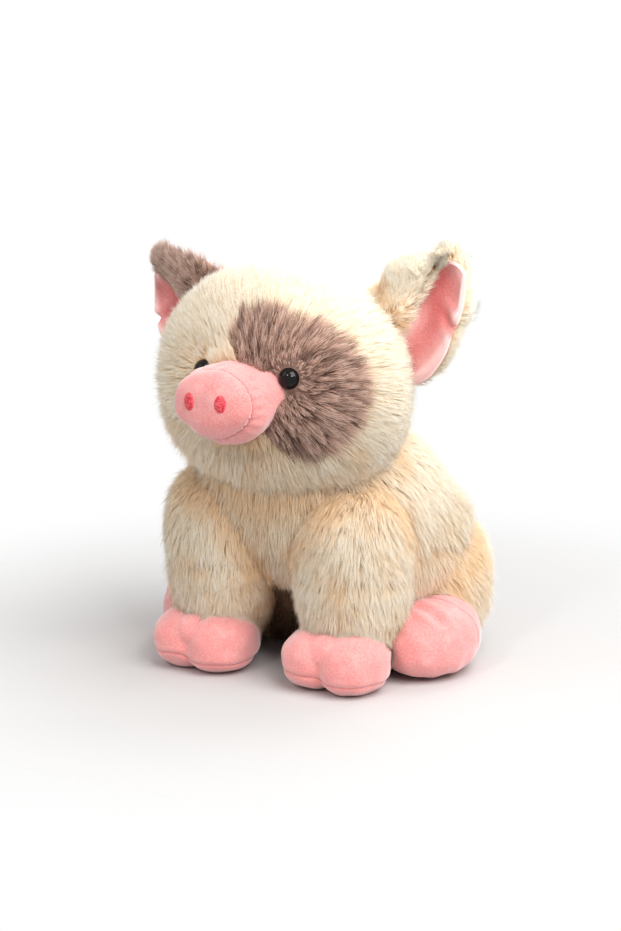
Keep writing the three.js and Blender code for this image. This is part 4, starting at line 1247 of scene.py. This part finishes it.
# Ears: a cupped leaf of fur cloth with a velboa lining, in a frame on its root
def earFrame(sweepDegrees):
    fall = math.acos((ear["rise"] / head["halfHeight"]) ** (head["topRound"] / 2)) / math.pi
    plain = headShape()
    farthest = formPoints(plain, np.array(0.25), np.array(fall))[1]
    turn = math.asin(ear["back"] / farthest) / (2 * math.pi)
    root = formPoints(plain, np.array(turn), np.array(fall)) + np.array([ear["proud"], 0, 0])
    normal = unit(np.array([root[0] / head["halfWidth"] ** 2, ear["back"] / head["back"] ** 2,
                            ear["rise"] / head["halfHeight"] ** 2]))
    lean, lift, sweep = (math.radians(angle) for angle in (ear["lean"], ear["lift"], sweepDegrees))
    along = flatTo(np.array([-math.sin(lean), 0, math.cos(lean)]), normal)
    out = flatTo(np.array([math.cos(lift) * math.cos(sweep), math.cos(lift) * math.sin(sweep),
                           math.sin(lift)]), along)
    return root, along, np.cross(out, along), out


earFrames = {1: earFrame(ear["sweeps"][0]), -1: earFrame(ear["sweeps"][1])}


# Half the ear's width at a distance out from its root, for the whole leaf or one inset all round
def earHalf(out, inset=0.0, slender=1.0):
    share = np.clip(out / (ear["length"] - inset), 0, 1)
    closing = np.maximum(0, (share - 0.3) / 0.7)
    rounding = np.sqrt(np.maximum(0, 1 - closing**2.6)) ** slender
    return (ear["halfWidth"] - inset) * rounding * (0.85 + 0.15 * np.minimum(1, share / 0.3))


def earLow(out, inset):
    away = (out / ear["length"] - ear["notch"]) / ear["notchWidth"]
    return ear["notchDepth"] * np.exp(-(away**2)) - earHalf(out, inset, 1.9)


def earHigh(out, inset):
    share = np.clip(out / ear["length"], 0, 1)
    return earHalf(out, inset) + ear["shoulder"] * (1 - smoothStep(0.0, 0.7, share))


# Where the leaf starts at an offset along the root
def earStart(offset):
    return -ear["sunk"] * np.minimum((offset / ear["sunkAt"]) ** 2, 1.6)


# A place on the ear: offset along the root, out from the root, level in front of the cloth
def earPlace(offset, out, level, side):
    share = np.clip(out / ear["length"], 0, 1)
    cup = ear["cup"] * np.minimum(1, share / 0.6) * (offset / ear["halfWidth"]) ** 2
    skew = ear["skews"][0 if side > 0 else 1] * share**1.2
    root, along, face, outward = earFrames[side]
    out = out * ear["trims"][0 if side > 0 else 1]
    local = (root + along * (offset + skew)[..., None] +
             face * (level + cup + ear["bend"] * share * share)[..., None] +
             outward * out[..., None])
    return fromHead(local * np.array([side, 1, 1]))


# Where the folded upper part of the ear ends, in shares of the half width
def foldEdge(out, side):
    start = ear["foldStarts"][0 if side > 0 else 1]
    return np.minimum(start + ear["foldRun"] * out / ear["length"], 0.97)


# How far the fold stands in front of the cloth
def foldRise(offset, out, side):
    half = np.maximum(earHigh(out, 0.0), 1e-6)
    edge = foldEdge(out, side)
    across = np.clip((offset / half - edge) / (1.0 - edge), 0, 1)
    dome = np.sqrt(np.maximum(0, 1 - (2 * across - 1) ** 2))
    share = out / ear["length"]
    narrow = np.minimum(1, (1 - edge) * half / ear["foldBase"])
    return ear["fold"] * dome * narrow * smoothStep(1.0, 0.9, share)


# Shares across and out along a leaf, at every point of its grid
leafGrid = np.meshgrid(np.linspace(0, 1, 44), np.linspace(0, 0.985, 40))


# A closed leaf between two levels; low and high give its lower and upper edge at each distance
def leafMesh(low, high, start, reach, levels, side, relief):
    share, rise = leafGrid
    rows, columns = share.shape
    size = share.size
    out = start + (reach - start) * np.sin(rise * math.pi / 2)
    offset = mixed(low(out), high(out), share)
    out = out + earStart(offset) * (1 - rise) ** 2
    edge = np.minimum(share, 1 - share) * 2
    rounded = np.sqrt(1 - (1 - np.clip(edge * 4, 0, 1)) ** 2)
    back, face = (mixed(sum(levels) / 2, level, rounded) for level in levels)
    points = np.vstack([earPlace(offset, out, level, side).reshape(-1, 3)
                        for level in (back, face + relief(offset, out, share) * rounded)])
    sheet = [(a, d, c, b) for a, b, c, d in gridFaces(rows, columns, wrap=False)]
    faces = sheet + backFaces(sheet, size)
    border = [*range(columns), *range(2 * columns - 1, size, columns),
              *range(size - 2, size - columns - 1, -1), *range(size - 2 * columns, 0, -columns)]
    for corner, beside in zip(border, border[1:] + border[:1]):
        faces.append((beside, corner, corner + size, beside + size))
    return points, [face[::-1] for face in faces] if side < 0 else faces


# The lining's own shape: a rolled edge round a hollow, and a tuck that runs in from the notch
def liningRelief(offset, out, share):
    rise = np.clip(out / ear["length"], 0, 1)
    lip = smoothStep(0.34, 0.03, share) + smoothStep(0.72, 0.94, rise)
    lip = lip + smoothStep(0.80, 0.98, share) * smoothStep(0.40, 0.62, rise)
    away = rise - ear["notch"] + 0.20 * share
    tuck = np.exp(-((away / 0.035) ** 2)) * smoothStep(0.62, 0.10, share)
    ridges = np.exp(-(((np.abs(away) - 0.075) / 0.04) ** 2)) * smoothStep(0.6, 0.2, share)
    fold = np.exp(-(((share - 0.62 + 0.4 * rise) / 0.05) ** 2)) * smoothStep(0.5, 0.25, rise)
    return ear["lip"] * np.minimum(lip, 1.15) - 0.0034 * tuck + 0.0016 * ridges - 0.0008 * fold


# Painted shade and light on the lining: above zero its colour is darkened in the hollows and the
# tuck, below zero it is made paler along the rolled edges
def liningHollow(out, share):
    rise = np.clip(out / ear["length"], 0, 1)
    upper = (smoothStep(0.10, 0.72, share) * smoothStep(0.95, 0.66, rise) *
             smoothStep(0.2, 0.55, rise))
    away = rise - ear["notch"] + 0.20 * share
    tuck = np.exp(-((away / 0.045) ** 2)) * smoothStep(0.7, 0.15, share)
    lower = np.exp(-(((share - 0.45) / 0.17) ** 2)) * smoothStep(0.60, 0.40, rise)
    rolled = np.maximum(smoothStep(0.26, 0.06, share), smoothStep(0.80, 0.95, rise))
    rolled = np.maximum(rolled, smoothStep(0.55, 0.85, share) * smoothStep(0.45, 0.25, rise))
    return 0.55 * upper + 0.40 * tuck + 0.35 * lower - 1.1 * rolled * (1 - tuck)


# How far in front of the cloth the hairs of the fold, and of the crest over it, are rooted
def foldLevel(zone, offset, out, side):
    rise = foldRise(offset, out, side)
    return 0.0026 + rise if zone == "fold" else 0.0016 + 0.6 * rise


def earRoots(zone, count, rng, side):
    reach = ear["length"] - ear["inset"]
    low, high = lambda out: earLow(out, ear["inset"]), lambda out: earHigh(out, ear["upperInset"])
    if zone == "back":
        out = ear["length"] * np.sin(rng.uniform(0, 1, count) * math.pi / 2)
        out = np.minimum(out, reach)
        offset = mixed(low(out), high(out), rng.random(count))
        level = np.full(count, 0.0006)
    elif zone == "rim":  # mostly along the lower edge, and round the tip
        turn = rng.uniform(0, 1, count)
        out = reach * np.sin(np.minimum(turn * 1.5, 1) * math.pi / 2)
        across = np.where(turn < 0.66, rng.uniform(0, 0.06, count), rng.random(count))
        offset = mixed(low(out), high(out), across)
        level = rng.uniform(0.0, 0.0030, count)
    elif zone == "crest":  # along the upper edge
        out = reach * rng.uniform(0.1, 0.99, count)
        offset = high(out) * rng.uniform(0.93, 1.0, count)
        level = foldLevel(zone, offset, out, side)
    else:
        out = rng.uniform(0.0, 0.97, count) * reach
        edge = foldEdge(out, side) * earHigh(out, 0.0)
        offset = mixed(edge, high(out), rng.uniform(0.0, 1, count))
        level = foldLevel(zone, offset, out, side)
    start = earStart(offset)
    out = np.where(out < 0.012, out + start * (1 - out / 0.012), out)
    return offset, out, level


# Where the hairs of a zone are rooted, with the directions along the ear's root, out to its tip
# and away from the cloth
def earSheet(zone, count, seed, side, facing, step=0.0006):
    offset, out, level = earRoots(zone, count, np.random.default_rng(seed), side)
    root = earPlace(offset, out, level, side)
    levels = [level, level]
    if zone in ("fold", "crest"):  # the cloth there rises and falls beside the root
        levels = [foldLevel(zone, offset + step, out, side),
                  foldLevel(zone, offset, out + step, side)]
    aside = unit(earPlace(offset + step, out, levels[0], side) - root)
    outward = unit(earPlace(offset, out + step, levels[1], side) - root)
    normals = unit(np.cross(outward, aside)) * side
    return offset, out, root, aside, outward, normals * np.sign((normals @ facing).mean())


def earFur(name, side, material, body, seed):
    facing = fromHead(earFrames[side][2] * np.array([side, 1, 1])) - fromHead(np.zeros(3))
    brown = side < 0
    for number, (zone, portion) in enumerate(ear["zones"].items(), start=1):
        count = int(hairCount(ear["hairs"]) * portion)
        offset, out, root, aside, outward, normals = earSheet(zone, count, seed + number, side,
                                                              facing)
        middle = (earLow(out, 0.0) + earHigh(out, 0.0)) / 2
        half = np.maximum((earHigh(out, 0.0) - earLow(out, 0.0)) / 2, 0.004)
        edge = np.clip((offset - middle) / half, -1, 1)[:, None]
        share = (out / ear["length"])[:, None]
        atTip = smoothStep(0.7, 1.0, share)
        fan = unit(aside * edge + outward * (0.3 + 1.2 * atTip))
        spec = {**earPile["every"], **earPile["brown" if brown else "cream"], **earPile[zone]}
        if brown and zone in ("rim", "crest"):
            spec["length"] = earPile["brownEdge"]
        shade, shorter = 0.0, (0.7 if brown else -0.25) * atTip
        if zone == "back":
            nearEdge = np.maximum(smoothStep(0.55, 0.95, np.abs(edge)), atTip)
            nearEdge = np.maximum(
                nearEdge, smoothStep(0.15, 0.6, edge) * smoothStep(0.4, 0.7, share))
            shorter = (0.6 if brown else 0.9) * nearEdge
            grown = -normals
            lit = unit(fan * nearEdge * 0.9 + up * nearEdge * 0.35 -
                       normals * (1.05 - 1.2 * nearEdge))
            comb = outward * (0.8 + atTip * 0.4) + aside * edge**3 * 0.4
        elif zone == "rim":
            grown = unit(fan - facing * (0.9 if brown else 0.1))
            lit = unit(facing * 0.15 + fan * 0.85 + up * 0.3)
            comb = outward * 0.45 - facing * (0.9 if brown else 0.2)
            # Painted shade: the cream rim takes less of it
            shade = 0.0 if brown else 0.22
        elif zone == "crest":
            grown = unit(aside + facing * 0.15)
            lit = unit(facing * 0.3 + aside * 0.6 + up * 0.5)
            comb = outward * (0.5 - 0.3 * atTip) + aside * 0.5
        else:
            grown = normals
            atRoot = smoothStep(0.012, -0.006, out)[:, None]
            late = smoothStep(0.5, 0.8, share)
            lit = unit(normals * (0.9 - 0.75 * late) + facing * (0.3 + 0.3 * late) +
                       up * (0.3 if brown else 0.6) + outward * 0.4)
            comb = outward * (0.75 - 0.5 * atRoot) + aside * (
                smoothStep(0.0, 1.0, edge) * 1.2 - 0.30 + 0.7 * atRoot +
                0.65 * smoothStep(0.35, 0.8, share))
            # Painted shade in the crease where the ear meets the head
            shade = -0.45 * smoothStep(0.030 if brown else 0.016, 0.0, out)
        if zone != "back":  # the side that is seen from the front stays lit
            turned = (lit @ facing)[:, None]
            lit = unit(lit + facing * np.maximum(0.0, (0.1 if zone == "rim" else 0.4) - turned))
        comb = comb + aside * 0.25 * wander(root, 0.03, seed + 2)[:, None]
        shown = material if brown or zone == "fold" else rimHair
        growFur(f"{name}_ear_{zone}_fur", root, grown, flatTo(comb, grown), spec,
                seed + number, shown, body, toneShift=shade, lit=lit,
                lengthShare=1 - shorter[:, 0])


def addEar(name, side, hair, backing, seed):
    body = f"{name}_ear"
    points, faces = leafMesh(
        lambda out: earLow(out, ear["inset"]), lambda out: earHigh(out, ear["upperInset"]),
        0.0, ear["length"] - ear["inset"], (0.0004, 0.0026), side,
        lambda offset, out, share: foldRise(offset, out, side))
    back = addMesh(f"{name}_ear_backing", points, faces)
    finishPiece(back, body, backing, [f"{name}_ear_back"])
    points, faces = leafMesh(
        lambda out: earLow(out, ear["rim"]),
        lambda out: np.minimum(earHalf(out, ear["rim"]),
                               foldEdge(out, side) * earHigh(out, 0.0) + 0.003),
        0.001, ear["length"] - ear["rim"], (0.0029, 0.0048), side, liningRelief)
    lining = addMesh(f"{name}_ear_lining_velboa", points, faces)
    share, rise = leafGrid
    out = (ear["length"] - ear["rim"]) * np.sin(rise * math.pi / 2)
    markCloth(lining, hollow=np.tile(liningHollow(out, share).ravel(), 2))
    finishPiece(lining, body, pinkVelboa, [f"{name}_ear_lining"])
    earFur(name, side, hair, body, seed)


addEar("left", 1, creamHair, creamBacking, 101)
addEar("right", -1, brownHair, brownBacking, 103)
print("ears dressed")

# Tail: a round curl of velboa that tapers to its tip
tail = {
    "joint": "tail_swing",
    "neck": 0.017,
    "neckShare": 0.22,  # of the rows, before the curl begins
    "curl": 0.0085,
    "width": 0.010,
    "turns": 1.15,
    "rootRadius": 0.0044,
    "tipRadius": 0.0028,
}


def tailCurl(steps=90, sides=28):
    root = next(joint["pos_m"] for joint in frame["joints"] if joint["name"] == tail["joint"])
    bend, neck = np.linspace(0, 1, steps), tail["neckShare"]
    angle = np.clip((bend - neck) / (1 - neck), 0, 1) * tail["turns"] * 2 * math.pi
    straight = np.minimum(bend / neck, 1) * tail["neck"]
    path = np.array(root) + np.stack([
        tail["width"] * angle / (2 * math.pi),
        straight + tail["curl"] * np.sin(angle),
        tail["curl"] * (1 - np.cos(angle)),
    ], axis=-1)
    tangent = unit(np.gradient(path, axis=0))
    sideways = flatTo(np.tile([1.0, 0.0, 0.0], (steps, 1)), tangent)
    other = np.cross(tangent, sideways)
    radius = mixed(tail["rootRadius"], tail["tipRadius"], bend)
    radius = radius * (1 - 0.05 * np.cos(bend * 34)) * np.sqrt(
        np.clip((1 - bend) * 16, 0, 1)).clip(0.04)
    turn = anglesRound(sides)
    seam = 1 - 0.10 * np.exp(-((np.sin((turn - 1.2) / 2) / 0.08) ** 2))
    points = (path[:, None] + radius[:, None, None] * seam[None, :, None] * (
        sideways[:, None] * np.cos(turn)[None, :, None] +
        other[:, None] * np.sin(turn)[None, :, None])).reshape(-1, 3)
    points = np.vstack([points, path[0] - tangent[0] * 0.002, path[-1] + tangent[-1] * 0.0002])
    curl = addMesh("tail_velboa", points,
                   tubeFaces(steps, sides, len(points) - 2, len(points) - 1, inward=True))
    markCloth(curl)
    finishPiece(curl, "tail", pinkVelboa, ["tail"])


tailCurl()

# What the skins hold inside keeps its own solids
fillings = {
    "head_stuffing": stuffingFibre,
    "snout_stuffing": stuffingFibre,
    "torso_stuffing": stuffingFibre,
    "pellet_pouch": pouchCotton,
}
for sideName in ("left", "right"):
    fillings[f"{sideName}_eye_washer"] = washerNylon
    for limb in ("front", "hind"):
        fillings[f"{sideName}_{limb}_leg_stuffing"] = stuffingFibre
for node, material in fillings.items():
    solid = frame["nodes"][node]
    solid.data.materials.clear()
    solid.data.materials.append(material)
print("tail and fillings done")

# Studio: a pale floor that fades into the white, and soft light from above and both sides
studio = {
    "floorRadius": 0.75,
    "floorColour": (0.555, 0.545, 0.540),
    "fade": (0.16, 0.46),
    "worldLight": 0.60,
    "aim": (0.0, -0.05, 0.12),
    "lamps": (  # place, size, watts
        ((1.2, -0.45, 1.55), 1.5, 44.0),
        ((-0.9, -1.2, 1.3), 1.0, 3.0),
        ((0.1, 0.9, 1.5), 1.0, 9.0),
        ((0.06, -1.40, 1.02), 0.20, 4.5),  # the two that the eyes catch
        ((0.98, -1.01, 0.93), 0.20, 3.5),
    ),
}


def addFloor():
    mesh = bpy.data.meshes.new("floor")
    work = bmesh.new()
    bmesh.ops.create_circle(work, cap_ends=True, radius=studio["floorRadius"], segments=96)
    work.to_mesh(mesh)
    work.free()
    material, tree, shader = newMaterial("paleFloor", 0.7, Specular_IOR_Level=0.1,
                                         Base_Color=(*studio["floorColour"], 1))
    place = addNode(tree, "TexCoord")
    length = addNode(tree, "VectorMath", {0: place.outputs["Object"]}, operation="LENGTH")
    fade = rangeOf(tree, length.outputs["Value"], *studio["fade"], 1.0, 0.0)
    tree.links.new(fade, shader.inputs["Alpha"])
    mesh.materials.append(material)
    addObject(mesh)


def addLights():
    world = bpy.data.worlds.new("studioWorld")
    bpy.context.scene.world = world
    world.use_nodes = True
    tree = world.node_tree
    rays = addNode(tree, "LightPath")
    strength = addNode(tree, "MapRange", {0: rays.outputs["Is Camera Ray"],
                                          3: studio["worldLight"], 4: 1.0})
    background = tree.nodes["Background"]
    tree.links.new(strength.outputs[0], background.inputs["Strength"])
    background.inputs["Color"].default_value = (1.0, 1.0, 1.0, 1)
    for index, (place, size, watts) in enumerate(studio["lamps"]):
        data = bpy.data.lights.new(f"softbox{index + 1}", "AREA")
        data.shape, data.size, data.energy = "SQUARE", size, watts
        placeAndAim(addObject(data), place, studio["aim"])


addFloor()
addLights()
bpy.context.scene.view_settings.view_transform = "Standard"
print("studio lit")
